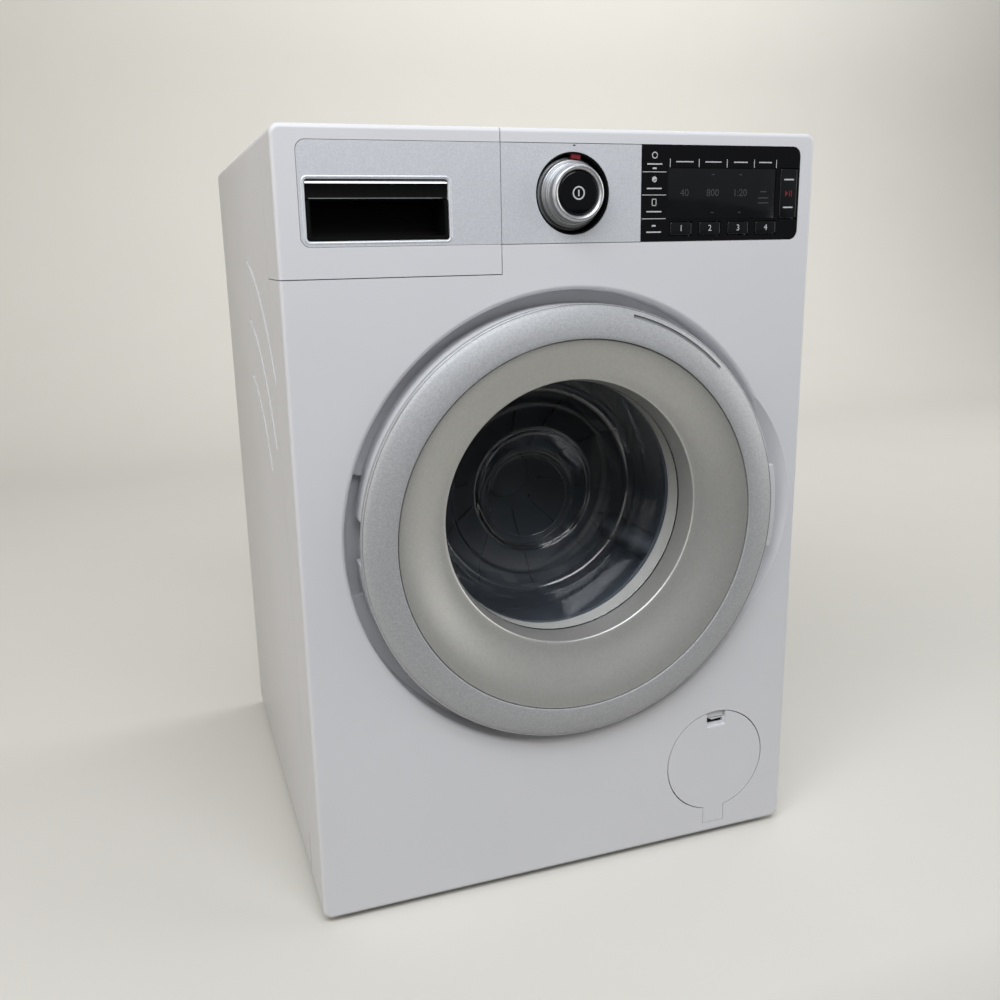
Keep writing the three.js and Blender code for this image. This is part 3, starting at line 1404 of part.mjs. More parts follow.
const dialFrame = frameAt(caseFrame, dialX, 0, panelMiddle);
add(dialFrame, 'dial_well', dialWell(), blackPlastic());
add(dialFrame, 'selector_knob', selectorKnob(), silverPaint());
add(dialFrame, 'power_button', powerButton(), blackPlastic());

const drawerFrame = frameAt(caseFrame, 0, 0, 0);
add(drawerFrame, 'drawer_front', drawerFront(), whitePlastic());
add(drawerFrame, 'drawer_fascia', drawerFascia(), silverPaint());
add(drawerFrame, 'handle_cup', handleCup(), blackPlastic());
add(drawerFrame, 'handle_bar', handleBar(), chrome());
add(drawerFrame, 'drawer_tray', drawerTray(), whitePlastic());
add(caseFrame, 'drawer_guide', drawerGuide(), whitePlastic());

const flapFrame = frameAt(caseFrame, flapX, 0, flapZ);
add(flapFrame, 'service_flap', serviceFlap(), whitePlastic());
add(flapFrame, 'flap_pin', flapPin(), steel());
add(flapFrame, 'filter_housing', filterHousing(), whitePlastic());
add(flapFrame, 'filter_cap', filterCap(), softGrey());

export default washer;
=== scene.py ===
# %% [markdown]
# # Dressing a toy washing machine
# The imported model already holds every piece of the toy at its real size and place, so it is loaded first
# and nothing in it is moved. Blender's part is the look: finer pieces where the eye goes, which are the
# front, the door, the drum behind it and the panel, and a real finish on every piece. All of it is built in
# code, so the picture comes out the same each time.

import math

import bmesh
import bpy
from mathutils import Matrix, Vector


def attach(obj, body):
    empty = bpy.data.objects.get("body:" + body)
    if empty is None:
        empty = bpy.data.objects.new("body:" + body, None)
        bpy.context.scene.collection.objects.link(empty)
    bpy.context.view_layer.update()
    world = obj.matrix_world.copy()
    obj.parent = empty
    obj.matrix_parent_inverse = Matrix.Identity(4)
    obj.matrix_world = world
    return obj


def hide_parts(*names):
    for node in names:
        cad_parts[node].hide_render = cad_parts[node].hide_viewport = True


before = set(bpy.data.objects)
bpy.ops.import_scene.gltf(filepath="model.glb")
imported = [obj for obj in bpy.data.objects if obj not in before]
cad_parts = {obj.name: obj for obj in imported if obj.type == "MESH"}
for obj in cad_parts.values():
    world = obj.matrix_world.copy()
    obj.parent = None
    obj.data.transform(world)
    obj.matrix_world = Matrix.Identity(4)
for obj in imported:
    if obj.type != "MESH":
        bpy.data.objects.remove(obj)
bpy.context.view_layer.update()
print("nodes in the packed model:", len(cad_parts))

# %% [markdown]
# ## Millimetres, and depth behind the front
# A toy is drawn in millimetres and Blender works in metres, so one function turns the first into the
# second. Most pieces sit in the flat front of the machine. It is easiest to say how deep they lie behind
# it, so the function takes a depth in place of Y.

# %% Units
MM = 0.001
FRONT_Y = -90.1


def place(x, depth, z):
    """A point in metres from millimetres; depth is the distance behind the flat front face."""
    return Vector((x, FRONT_Y + depth, z)) * MM


print("the front face lies at y =", place(0, 0, 0).y)

# %% [markdown]
# ## The camera of the photograph
# The photographer stood in front of the machine, off to the left of the picture, and looked a little down.
# The position and the turn of the camera were worked out from the corners of the case. Three directions
# describe it: right, up and forward. They go straight into the camera's matrix, which is exact where a
# rotation by hand would be a guess.

# %% Camera
yaw, pitch, roll = 0.3364, 0.2484, -0.0192
forward = Vector((math.sin(yaw) * math.cos(pitch), math.cos(yaw) * math.cos(pitch), -math.sin(pitch)))
level_right = Vector((math.cos(yaw), -math.sin(yaw), 0))
level_up = level_right.cross(forward)
right = level_right * math.cos(roll) + level_up * math.sin(roll)
up = level_up * math.cos(roll) - level_right * math.sin(roll)

camera = bpy.data.objects.new("photo_camera", bpy.data.cameras.new("photo_camera"))
bpy.context.scene.collection.objects.link(camera)
turned_camera = Matrix((right, up, -forward)).transposed().to_4x4()
camera_at = Vector((-129.26, -389.86, 224.72)) * MM
camera.matrix_world = Matrix.Translation(camera_at) @ turned_camera
focal_pixels, picture_width, sensor_width = 995.79, 1000, 36
camera.data.sensor_width = sensor_width
camera.data.lens = focal_pixels / picture_width * sensor_width
camera.data.clip_start = 0.01
bpy.context.scene.camera = camera
print("lens in millimetres:", round(camera.data.lens, 2))

# %% [markdown]
# ## Colours and nodes
# A colour picked from a screen is an sRGB value, but a shader wants a linear one, so one function turns the
# hex value round. A second one adds a node: its properties by name, its sockets by name or number, and a
# link where the value is another node's output. A third says how to scale a pattern so that one grain of it
# has a real size.

# %% Helpers for materials
def linear(hex_value):
    """The linear colour of an sRGB hex value."""
    shares = [int(hex_value[i:i + 2], 16) / 255 for i in (0, 2, 4)]
    return tuple(s / 12.92 if s <= 0.04045 else ((s + 0.055) / 1.055) ** 2.4 for s in shares) + (1.0,)


def add_node(tree, kind, sockets=None, **settings):
    """Adds a node with its settings, and fills or links its sockets."""
    made = tree.nodes.new(kind)
    for name, value in settings.items():
        setattr(made, name, value)
    for socket, value in (sockets or {}).items():
        if isinstance(value, bpy.types.NodeSocket):
            tree.links.new(value, made.inputs[socket])
        else:
            made.inputs[socket].default_value = value
    return made


def grain_of(size):
    """The scale of a texture whose grain is this many millimetres across."""
    return 1 / (size * MM)


def new_material(name):
    """An empty material, its nodes, and the point on the piece in metres, which moves with the piece."""
    made = bpy.data.materials.new(name)
    made.use_nodes = True
    made.node_tree.nodes.clear()
    point = add_node(made.node_tree, "ShaderNodeTexCoord").outputs["Object"]
    return made, made.node_tree, point


print("mid grey in linear light:", round(linear("808080")[0], 3))

# %% [markdown]
# ## Injection-moulded plastics
# Most of the toy is moulded plastic. The steel mould is spark-eroded, which leaves a fine, even grain that
# takes the mirror gloss off and turns a highlight into a soft patch. The real grain is about 0.1 mm, too
# fine to show here, so it is drawn some times coarser. A second, wide noise shifts the colour very
# slightly, as plastic of one colour never lights up perfectly even.
#
# One function builds this surface, because the mould makes it the same way in each plastic. The plastics
# differ in colour, gloss and refractive index: 1.54 for ABS, 1.49 for polypropylene, 1.48 for acetal.

# %% Moulded plastic
def moulded(name, darker, lighter, grain, relief, gloss, ior, shine=0.5):
    """A moulded plastic: grain and relief in millimetres, gloss as the lowest and highest roughness."""
    made, tree, point = new_material(name)
    fine = add_node(tree, "ShaderNodeTexNoise", {"Vector": point, "Scale": grain_of(grain), "Detail": 3.0})
    wide = add_node(tree, "ShaderNodeTexNoise", {"Vector": point, "Scale": grain_of(45), "Detail": 2.0})
    tone = add_node(tree, "ShaderNodeMix", {0: wide.outputs["Fac"], 6: linear(darker), 7: linear(lighter)},
                    data_type="RGBA")
    rough = add_node(tree, "ShaderNodeMapRange",
                     {"Value": fine.outputs["Fac"], "To Min": gloss[0], "To Max": gloss[1]})
    bump = add_node(tree, "ShaderNodeBump",
                    {"Height": fine.outputs["Fac"], "Distance": relief * MM, "Strength": 1.0})
    shader = add_node(tree, "ShaderNodeBsdfPrincipled",
                      {"Base Color": tone.outputs[2], "Roughness": rough.outputs["Result"], "IOR": ior,
                       "Specular IOR Level": shine, "Normal": bump.outputs["Normal"]})
    add_node(tree, "ShaderNodeOutputMaterial", {"Surface": shader.outputs["BSDF"]})
    return made


# ABS in white: bright, with a soft broad sheen.
white_abs = moulded("white_abs_spark_eroded", "DADBDE", "E0E1E4",
                    grain=0.6, relief=0.012, gloss=(0.36, 0.48), ior=1.54)
# Polypropylene in charcoal, for the drum: a little waxy, so its highlights are wide and dim.
charcoal_pp = moulded("charcoal_polypropylene", "565B61", "62676D",
                      grain=0.8, relief=0.02, gloss=(0.46, 0.6), ior=1.49)
# A rubbery elastomer, for the gasket and the feet: nearly matt.
grey_elastomer = moulded("grey_elastomer_moulded", "D3CEC5", "DCD7CE",
                         grain=0.5, relief=0.02, gloss=(0.6, 0.75), ior=1.5)
foot_elastomer = moulded("foot_elastomer_moulded", "8F9092", "9A9B9D",
                         grain=0.5, relief=0.03, gloss=(0.7, 0.85), ior=1.5)
# Acetal, for the gears: creamy and slippery, with a tight highlight.
cream_acetal = moulded("cream_acetal_moulded", "E2DCCB", "EAE5D6",
                       grain=0.9, relief=0.01, gloss=(0.3, 0.4), ior=1.48)
# ABS in black with a fine matt mould, for the well and the handle pocket.
black_abs = moulded("black_abs_fine_matt", "060707", "0A0B0C",
                    grain=0.5, relief=0.02, gloss=(0.4, 0.5), ior=1.54, shine=0.15)
print("moulded plastics:", [m.name for m in bpy.data.materials if "_" in m.name][:6])

# %% [markdown]
# ## Silver paint on ABS
# The fascia, the outer ring of the door and the knob look like metal but are plastic with a sprayed paint
# full of aluminium flakes. Each flake is a tiny mirror that lies nearly flat, so the surface is bright
# where it faces a lamp and has a fine sparkle. It isn't a pure metal, because clear binder lies over the
# flakes: metallic is well under 1 and the roughness is that of satin paint. The flakes are some 0.05 mm
# across and are drawn about 0.35 mm wide, the smallest that the picture can show. Voronoi cells give each
# flake its own brightness. A soft noise tilts the surface, because bump from the cells themselves would
# draw their borders as cracks, and a wider one changes the roughness in clouds, as a spray gun does.

# %% Silver and grey flake paints
def flake_paint(name, dull, bright, metallic, gloss, flake):
    """Sprayed flake paint: the flakes vary a little in brightness and in tilt."""
    made, tree, point = new_material(name)
    flakes = add_node(tree, "ShaderNodeTexVoronoi", {"Vector": point, "Scale": grain_of(flake)})
    cloud = add_node(tree, "ShaderNodeTexNoise",
                     {"Vector": point, "Scale": grain_of(flake * 4), "Detail": 3.0})
    spark = add_node(tree, "ShaderNodeMapRange",
                     {"Value": flakes.outputs["Color"], "From Min": 0.1, "From Max": 0.9})
    tone = add_node(tree, "ShaderNodeMix", {0: spark.outputs["Result"], 6: linear(dull), 7: linear(bright)},
                    data_type="RGBA")
    rough = add_node(tree, "ShaderNodeMapRange",
                     {"Value": cloud.outputs["Fac"], "To Min": gloss[0], "To Max": gloss[1]})
    tilt = add_node(tree, "ShaderNodeTexNoise", {"Vector": point, "Scale": grain_of(flake), "Detail": 1.0})
    bump = add_node(tree, "ShaderNodeBump",
                    {"Height": tilt.outputs["Fac"], "Distance": 0.02 * MM, "Strength": 1.0})
    shader = add_node(tree, "ShaderNodeBsdfPrincipled",
                      {"Base Color": tone.outputs[2], "Metallic": metallic,
                       "Roughness": rough.outputs["Result"], "Normal": bump.outputs["Normal"]})
    add_node(tree, "ShaderNodeOutputMaterial", {"Surface": shader.outputs["BSDF"]})
    return made


silver_paint = flake_paint("silver_flake_paint_on_abs", "DDE1E7", "EDF0F4", 0.35, (0.36, 0.46), 0.32)
# The ring's paint has coarser flakes in a darker binder, so it sparkles more on a darker ground.
ring_paint = flake_paint("coarse_silver_paint_on_abs", "A8AAAC", "BBBDBF", 0.3, (0.46, 0.56), 0.38)
# The knob is vacuum-plated and then frosted, so it mirrors more than the fascia does.
plated_silver = flake_paint("satin_silver_plating_on_abs", "B9BBBE", "CDCFD2", 0.75, (0.28, 0.38), 0.35)
# The inner ring has a grey, flatter paint with few flakes.
grey_paint = flake_paint("grey_satin_paint_on_abs", "BFBFBB", "C7C7C3", 0.62, (0.32, 0.42), 0.5)
# The outer edge of the ring is a thin polished bead. Its silver is lighter than the ring's: a painted
# highlight that brightens the thin line round the edge.
edge_silver_painted_highlight = flake_paint("lighter_silver_edge_painted_highlight", "BCBEC0", "CACCCE", 0.5, (0.14, 0.2), 0.4)
print("paints:", silver_paint.name, ring_paint.name, plated_silver.name, grey_paint.name)

# %% [markdown]
# ## Black acrylic
# The display is a sheet of black acrylic: almost a black mirror that shows the room. Real ones have faint
# hazy patches where fingers have been, which only show as a slightly softer reflection. So the pattern
# changes the roughness, and hardly the colour. Acrylic refracts at 1.49.

# %% Black acrylic
def acrylic(name, base, haze, gloss):
    """A polished black sheet with faint finger haze in patches of about a fingertip."""
    made, tree, point = new_material(name)
    patch = add_node(tree, "ShaderNodeTexNoise",
                     {"Vector": point, "Scale": grain_of(14), "Detail": 4.0, "Roughness": 0.6})
    tone = add_node(tree, "ShaderNodeMix", {0: patch.outputs["Fac"], 6: linear(base), 7: linear(haze)},
                    data_type="RGBA")
    rough = add_node(tree, "ShaderNodeMapRange",
                     {"Value": patch.outputs["Fac"], "From Min": 0.35, "From Max": 0.75,
                      "To Min": gloss[0], "To Max": gloss[1]})
    shader = add_node(tree, "ShaderNodeBsdfPrincipled",
                      {"Base Color": tone.outputs[2], "Roughness": rough.outputs["Result"], "IOR": 1.49})
    add_node(tree, "ShaderNodeOutputMaterial", {"Surface": shader.outputs["BSDF"]})
    return made


black_acrylic = acrylic("black_acrylic_sheet", "08090C", "0E0F13", (0.03, 0.09))
window_acrylic = acrylic("black_acrylic_window", "16181A", "1C1E20", (0.08, 0.16))
key_acrylic = acrylic("black_acrylic_keys", "121316", "191B1E", (0.14, 0.26))
print("acrylic sheets:", black_acrylic.name, window_acrylic.name, key_acrylic.name)

# %% [markdown]
# ## Smoked polycarbonate
# The bowl of the door is clear polycarbonate with a little grey dye. A true glass shader bends the light at
# both faces of the 1.5 mm wall, which draws the bright and dark lines at each step of the bowl.
# Polycarbonate bends light more than glass does, at 1.585. Lamps have to reach the drum behind it, and a
# glass shader would block them, so for shadow rays alone the surface counts as see-through, with a tint
# that takes a little of the light away at each face, as the dye does.

# %% Smoked polycarbonate
smoked_pc, tree, point = new_material("smoked_polycarbonate")
scuff = add_node(tree, "ShaderNodeTexNoise", {"Vector": point, "Scale": grain_of(6), "Detail": 5.0})
rough = add_node(tree, "ShaderNodeMapRange",
                 {"Value": scuff.outputs["Fac"], "To Min": 0.015, "To Max": 0.05})
tint = add_node(tree, "ShaderNodeMix", {0: scuff.outputs["Fac"], 6: linear("DEE1E3"), 7: linear("E6E8EA")},
                data_type="RGBA")
glass = add_node(tree, "ShaderNodeBsdfPrincipled",
                 {"Base Color": tint.outputs[2], "Roughness": rough.outputs["Result"], "IOR": 1.585,
                  "Specular IOR Level": 0.35, "Transmission Weight": 1.0})
lamp_way = add_node(tree, "ShaderNodeBsdfTransparent", {"Color": linear("DCDEE0")})
ray = add_node(tree, "ShaderNodeLightPath")
either = add_node(tree, "ShaderNodeMixShader",
                  {0: ray.outputs["Is Shadow Ray"], 1: glass.outputs["BSDF"], 2: lamp_way.outputs["BSDF"]})
add_node(tree, "ShaderNodeOutputMaterial", {"Surface": either.outputs["Shader"]})
print("see-through:", smoked_pc.name)

# %% [markdown]
# ## Metals
# Screws, pins and the motor can are zinc-plated steel, the bush and the motor's pinion are brass, and the
# bar in the handle is plated black chrome. In a metal the colour is the colour of its mirror image, so
# metallic is 1 and the refractive index stays at Blender's default. Drawing and rolling leave fine lines,
# shown by a noise that is stretched along one axis.

# %% Metals
def metal(name, dull, bright, gloss, grain):
    """A metal with faint drawn lines along Z."""
    made, tree, point = new_material(name)
    stretched = add_node(tree, "ShaderNodeMapping", {"Vector": point, "Scale": (1.0, 1.0, 0.08)})
    lines = add_node(tree, "ShaderNodeTexNoise",
                     {"Vector": stretched.outputs["Vector"], "Scale": grain_of(grain), "Detail": 4.0})
    tone = add_node(tree, "ShaderNodeMix", {0: lines.outputs["Fac"], 6: linear(dull), 7: linear(bright)},
                    data_type="RGBA")
    rough = add_node(tree, "ShaderNodeMapRange",
                     {"Value": lines.outputs["Fac"], "To Min": gloss[0], "To Max": gloss[1]})
    shader = add_node(tree, "ShaderNodeBsdfPrincipled",
                      {"Base Color": tone.outputs[2], "Metallic": 1.0, "Roughness": rough.outputs["Result"]})
    add_node(tree, "ShaderNodeOutputMaterial", {"Surface": shader.outputs["BSDF"]})
    return made


zinc_steel = metal("zinc_plated_steel", "AEB1B4", "CBCED1", (0.22, 0.38), 0.8)
drawn_brass = metal("drawn_brass", "B08A3E", "C9A254", (0.22, 0.36), 0.8)
black_chrome = metal("black_chrome_plating", "9C9FA4", "AEB1B6", (0.04, 0.08), 1.5)
print("metals:", zinc_steel.name, drawn_brass.name, black_chrome.name)

# %% [markdown]
# ## Circuit board and cells
# A circuit board is glass-fibre laminate under green lacquer, and its copper tracks show through as a
# lighter green. A brick texture has straight joints that branch at right angles, so its joints make good
# tracks: about 0.5 mm wide, one every 3 mm. The cells have a printed sleeve in two colours that meet at a
# fixed height.

# %% Board and cell sleeve
board_green, tree, point = new_material("green_lacquered_laminate")
upright = add_node(tree, "ShaderNodeMapping", {"Vector": point, "Rotation": (math.pi / 2, 0.0, 0.0)})
tracks = add_node(tree, "ShaderNodeTexBrick",
                  {"Vector": upright.outputs["Vector"], "Color1": linear("1B5A36"),
                   "Color2": linear("206440"), "Mortar": linear("3B8A5B"), "Scale": grain_of(6),
                   "Mortar Size": 0.04, "Brick Width": 1.0, "Row Height": 0.5})
shader = add_node(tree, "ShaderNodeBsdfPrincipled",
                  {"Base Color": tracks.outputs["Color"], "Roughness": 0.32, "IOR": 1.5})
add_node(tree, "ShaderNodeOutputMaterial", {"Surface": shader.outputs["BSDF"]})

cell_sleeve, tree, point = new_material("printed_cell_sleeve")
height = add_node(tree, "ShaderNodeSeparateXYZ", {"Vector": point})
above = add_node(tree, "ShaderNodeMath", {0: height.outputs["Z"], 1: 0.048}, operation="GREATER_THAN")
tone = add_node(tree, "ShaderNodeMix", {0: above.outputs["Value"], 6: linear("26282B"), 7: linear("B97A3C")},
                data_type="RGBA")
wear = add_node(tree, "ShaderNodeTexNoise", {"Vector": point, "Scale": grain_of(3), "Detail": 4.0})
rough = add_node(tree, "ShaderNodeMapRange", {"Value": wear.outputs["Fac"], "To Min": 0.22, "To Max": 0.4})
shader = add_node(tree, "ShaderNodeBsdfPrincipled",
                  {"Base Color": tone.outputs[2], "Metallic": 0.6, "Roughness": rough.outputs["Result"]})
add_node(tree, "ShaderNodeOutputMaterial", {"Surface": shader.outputs["BSDF"]})
print("board and cells:", board_green.name, cell_sleeve.name)

# %% [markdown]
# ## Printing ink
# The marks on the panel are pad-printed: a silicone pad lays a film of ink a few hundredths of a millimetre
# thick. Ink is never perfectly solid, so a fine noise breaks its colour a little.

# %% Inks
def ink(name, thin, full, gloss):
    """Pad-printing ink with small differences in how thick it lies."""
    made, tree, point = new_material(name)
    film = add_node(tree, "ShaderNodeTexNoise", {"Vector": point, "Scale": grain_of(0.4), "Detail": 2.0})
    tone = add_node(tree, "ShaderNodeMix", {0: film.outputs["Fac"], 6: linear(thin), 7: linear(full)},
                    data_type="RGBA")
    shader = add_node(tree, "ShaderNodeBsdfPrincipled",
                      {"Base Color": tone.outputs[2], "Roughness": gloss, "IOR": 1.5})
    add_node(tree, "ShaderNodeOutputMaterial", {"Surface": shader.outputs["BSDF"]})
    return made


pale_ink = ink("pale_grey_ink", "BBBDBF", "D2D4D6", 0.45)
faint_ink = ink("faint_grey_ink", "3A3C3F", "46484B", 0.4)
red_ink = ink("red_ink", "68191F", "7C2026", 0.45)
dark_ink = ink("dark_grey_ink", "2B2D31", "35373B", 0.5)
print("inks:", pale_ink.name, faint_ink.name, red_ink.name, dark_ink.name)

# %% [markdown]
# ## Turned shapes
# Rings, bowl, drum, well and knob are all round. On a lathe such a shape is a profile that turns about an
# axis, and the same works in mesh code: each point of the profile becomes a ring of vertices. Each point is
# given as radius, depth and lift, where lift moves its ring up. The door needs it, because its opening sits
# 4.1 mm higher than its rim. A fourth number rounds the corner, since no moulding has a perfectly sharp
# edge, and it is the rounding that catches the light.

# %% Turned shapes
def rounded(corners, closed=True, steps=4):
    """A profile with its corners replaced by small curves."""
    made = []
    for i, (radius, depth, lift, rounding) in enumerate(corners):
        here = Vector((radius, depth, lift))
        at_end = not closed and i in (0, len(corners) - 1)
        if not rounding or at_end:
            made.append(here)
            continue
        before = Vector(corners[i - 1][:3]) - here
        after = Vector(corners[(i + 1) % len(corners)][:3]) - here
        reach = min(rounding, before.length * 0.45, after.length * 0.45)
        start, end = here + before.normalized() * reach, here + after.normalized() * reach
        for k in range(steps + 1):
            t = k / steps
            made.append(start * (1 - t) ** 2 + here * (2 * t * (1 - t)) + end * t ** 2)
    return made


def turn(bm, profile, axis, sides=144, closed=True):
    """Adds a shape turned about a line along Y through axis, which is (x, z)."""
    rings = []
    for radius, depth, lift in profile:
        count = sides if radius > 0 else 1
        angles = [2 * math.pi * k / count for k in range(count)]
        rings.append([bm.verts.new(place(axis[0] + radius * math.cos(a), depth,
                                         axis[1] + radius * math.sin(a) + lift)) for a in angles])
    pairs = list(zip(rings, rings[1:])) + ([(rings[-1], rings[0])] if closed else [])
    for low, high in pairs:
        for k in range(sides):
            near = [low[k % len(low)], low[(k + 1) % len(low)]]
            far = [high[(k + 1) % len(high)], high[k % len(high)]]
            corners = list(dict.fromkeys(near + far))
            if len(corners) > 2:
                bm.faces.new(corners)


square = [(1, 0, 0, 0.2), (2, 0, 0, 0.2), (2, 1, 0, 0.2), (1, 1, 0, 0.2)]
print("points in a rounded square profile:", len(rounded(square)))

# %% [markdown]
# ## Plates and prisms
# Fascias, keys and the case itself are plates with round corners. A plate is built from loops, like slices
# of a loaf: each is the outline pulled in a little, and they follow a quarter circle at the front, which
# gives the soft rim. A prism is simpler: any outline, straight from front to back. Prisms serve as cutting
# tools, as marks and as small blocks.

# %% Plates and prisms
def outline(x0, x1, z0, z1, corners, steps=8):
    """Points round a rectangle with corner radii for bottom left, bottom right, top right and top left."""
    centres = [(x0, z0, 1, 1, math.pi), (x1, z0, -1, 1, 1.5 * math.pi),
               (x1, z1, -1, -1, 0), (x0, z1, 1, -1, math.pi / 2)]
    points = []
    for (x, z, to_x, to_z, start), radius in zip(centres, corners):
        radius = max(radius, 0.01)
        for k in range(steps + 1):
            a = start + k / steps * math.pi / 2
            points.append((x + to_x * radius + radius * math.cos(a),
                           z + to_z * radius + radius * math.sin(a)))
    return points


def stack(bm, loops):
    """Skins a closed shape over loops that all have as many points."""
    rows = [[bm.verts.new(point) for point in loop] for loop in loops]
    for low, high in zip(rows, rows[1:]):
        for k in range(len(low)):
            bm.faces.new((low[k], low[(k + 1) % len(low)], high[(k + 1) % len(high)], high[k]))
    bm.faces.new(rows[0])
    bm.faces.new(rows[-1])


def plate(bm, x0, x1, z0, z1, corners, front, back, rim=0.0, steps=5):
    """Adds a plate from depth front to back, with a rounded front rim."""
    loops = []
    for k in range(steps + 1 if rim else 1):
        a = k / steps * math.pi / 2
        pull, depth = rim * (1 - math.sin(a)), front + rim * (1 - math.cos(a))
        radii = [max(radius - pull, 0.01) for radius in corners]
        points = outline(x0 + pull, x1 - pull, z0 + pull, z1 - pull, radii)
        loops.append([place(x, depth, z) for x, z in points])
    loops.append([place(x, back, z) for x, z in outline(x0, x1, z0, z1, corners)])
    stack(bm, loops)


def prism(bm, points, front, back):
    """Adds an outline in X and Z, straight from depth front to depth back."""
    stack(bm, [[place(x, depth, z) for x, z in points] for depth in (front, back)])


def hoop(bm, box, corner, section):
    """Adds a frame round a rectangle; the section is in steps outwards and in depth."""
    x0, x1, z0, z1 = box
    rows = []
    for grow, depth in section:
        points = outline(x0 - grow, x1 + grow, z0 - grow, z1 + grow, [corner + grow] * 4)
        rows.append([bm.verts.new(place(x, depth, z)) for x, z in points])
    for low, high in zip(rows, rows[1:] + rows[:1]):
        for k in range(len(low)):
            bm.faces.new((low[k], low[(k + 1) % len(low)], high[(k + 1) % len(high)], high[k]))


def corners_of(x0, x1, z0, z1):
    """The four corners of a rectangle."""
    return [(x0, z0), (x1, z0), (x1, z1), (x0, z1)]


def sector(axis, inner, outer, start, end, steps=24):
    """The outline of a band between two radii and two angles in degrees."""
    turns = [math.radians(start + (end - start) * k / steps) for k in range(steps + 1)]
    out = [(axis[0] + outer * math.cos(a), axis[1] + outer * math.sin(a)) for a in turns]
    return out + [(axis[0] + inner * math.cos(a), axis[1] + inner * math.sin(a)) for a in reversed(turns)]


def rod(bm, start, end, radius, sides=24):
    """Adds a round bar between two points in metres, its radius in millimetres."""
    way = end - start
    grid = Matrix.Translation((start + end) / 2) @ way.to_track_quat("Z", "Y").to_matrix().to_4x4()
    bmesh.ops.create_cone(bm, cap_ends=True, segments=sides, radius1=radius * MM, radius2=radius * MM,
                          depth=way.length, matrix=grid)


print("points round a plate:", len(outline(0, 10, 0, 5, [1, 1, 1, 1])))

# %% [markdown]
# ## From mesh to piece
# A mesh becomes a piece in three steps. Its faces are turned to point outwards. Its shading is smooth,
# except across edges sharper than 35 degrees. Then it gets its finish, rides on its body so that it moves
# with it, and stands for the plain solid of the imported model.
#
# Holes are cut with the exact boolean, which keeps flat faces flat. Where a cut leaves a knife edge, a
# bevel of a few tenths of a millimetre softens it, and weighted normals keep the big flat faces from
# shading as if bent.

# %% Pieces, cuts and soft edges
def as_object(bm, name, sharp=35):
    """Turns a bmesh into an object with smooth shading that breaks at sharp edges."""
    bmesh.ops.recalc_face_normals(bm, faces=bm.faces)
    mesh = bpy.data.meshes.new(name)
    bm.to_mesh(mesh)
    bm.free()
    mesh.shade_smooth()
    mesh.set_sharp_from_angle(angle=math.radians(sharp))
    made = bpy.data.objects.new(name, mesh)
    bpy.context.scene.collection.objects.link(made)
    return made


def carve(base, tools, operation="DIFFERENCE", sharp=35):
    """Cuts tools out of base, or joins them to it, and throws the tools away."""
    for tool in tools:
        step = base.modifiers.new("carve", "BOOLEAN")
        step.operation, step.solver, step.object = operation, "EXACT", tool
    bpy.context.view_layer.update()
    carved = base.evaluated_get(bpy.context.evaluated_depsgraph_get())
    mesh = bpy.data.meshes.new_from_object(carved)
    base.modifiers.clear()
    base.data = mesh
    mesh.shade_smooth()
    mesh.set_sharp_from_angle(angle=math.radians(sharp))
    for tool in tools:
        bpy.data.objects.remove(tool)


def soften(piece, width, segments=2, angle=40):
    """Rounds the sharp edges of a piece by a width in millimetres."""
    edge = piece.modifiers.new("soft_edges", "BEVEL")
    edge.width, edge.segments = width * MM, segments
    edge.limit_method, edge.angle_limit = "ANGLE", math.radians(angle)
    edge.miter_outer = "MITER_ARC"
    weights = piece.modifiers.new("flat_faces_stay_flat", "WEIGHTED_NORMAL")
    weights.keep_sharp = True


def dress(piece, body, material, slot, *replaced):
    """Gives a piece its finish and its body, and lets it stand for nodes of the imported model."""
    piece.data.materials.clear()
    piece.data.materials.append(material)
    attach(piece, body)
    if replaced:
        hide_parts(*replaced)


def shape(name, add, *sizes, sharp=35, **more):
    """An object of a single shape; add is the function that draws it, such as plate or prism."""
    bm = bmesh.new()
    add(bm, *sizes, **more)
    return as_object(bm, name, sharp)


def turned_piece(name, profile, axis, sides, body, material, slot, *replaced, closed=True, steps=4):
    """A piece that is a single turned shape with rounded corners."""
    made = shape(name, turn, rounded(profile, closed, steps), axis, sides, closed)
    dress(made, body, material, slot, *replaced)


def tool_of(add, *sizes, **more):
    """A single shape as a cutting tool."""
    return shape("tool", add, *sizes, **more)


def block_tool(x0, x1, front, back, z0, z1):
    """A rectangular cutting tool."""
    return tool_of(prism, corners_of(x0, x1, z0, z1), front, back)


def round_tool(axis, radius, front, back, sides=144):
    """A round cutting tool along Y."""
    profile = [(0, front, 0), (radius, front, 0), (radius, back, 0), (0, back, 0)]
    return tool_of(turn, profile, axis, sides, closed=False)


print("helpers are ready")

# %% [markdown]
# ## Sizes of the front
# These are the places that the pieces of the front share, in millimetres. Z is the height over the floor.
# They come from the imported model, so each finer piece lands on the solid that it stands for. The seam of
# the drawer is a little finer here than there.

# %% Sizes of the front
DOOR = (2.5, 132.3)
DRUM = (2.5, 136.4)
SCOOP = (29.7, 132.3)
LIFT = 4.1
HALF, WALL, INSIDE_TOP = 91.0, 2.2, 257.8
SEAM_X, SEAM_Z = -22.2, 216.5
PANEL_LOW, PANEL_HIGH, PANEL_MIDDLE = 225.7, 255.5, 240.6
DIAL = (1.8, PANEL_MIDDLE)
DISPLAY_LEFT, DISPLAY_RIGHT = 25.7, 85.3
FASCIA_LEFT = -83.9
SEAM = 0.12
# The walls on both sides of the seam lie between these two distances from its middle.
WALL_NEAR, WALL_FAR = 0.15, 2.15
FLAP = (60.9, 32.6)
KEY_X = [40.3, 51.1, 61.9, 72.7]
KEY_Z = 229.6
START = (81.15, PANEL_MIDDLE)
KEY_HALF, START_HALF, KEY_GAP = (3.9, 2.0), (3.25, 7.95), 0.3
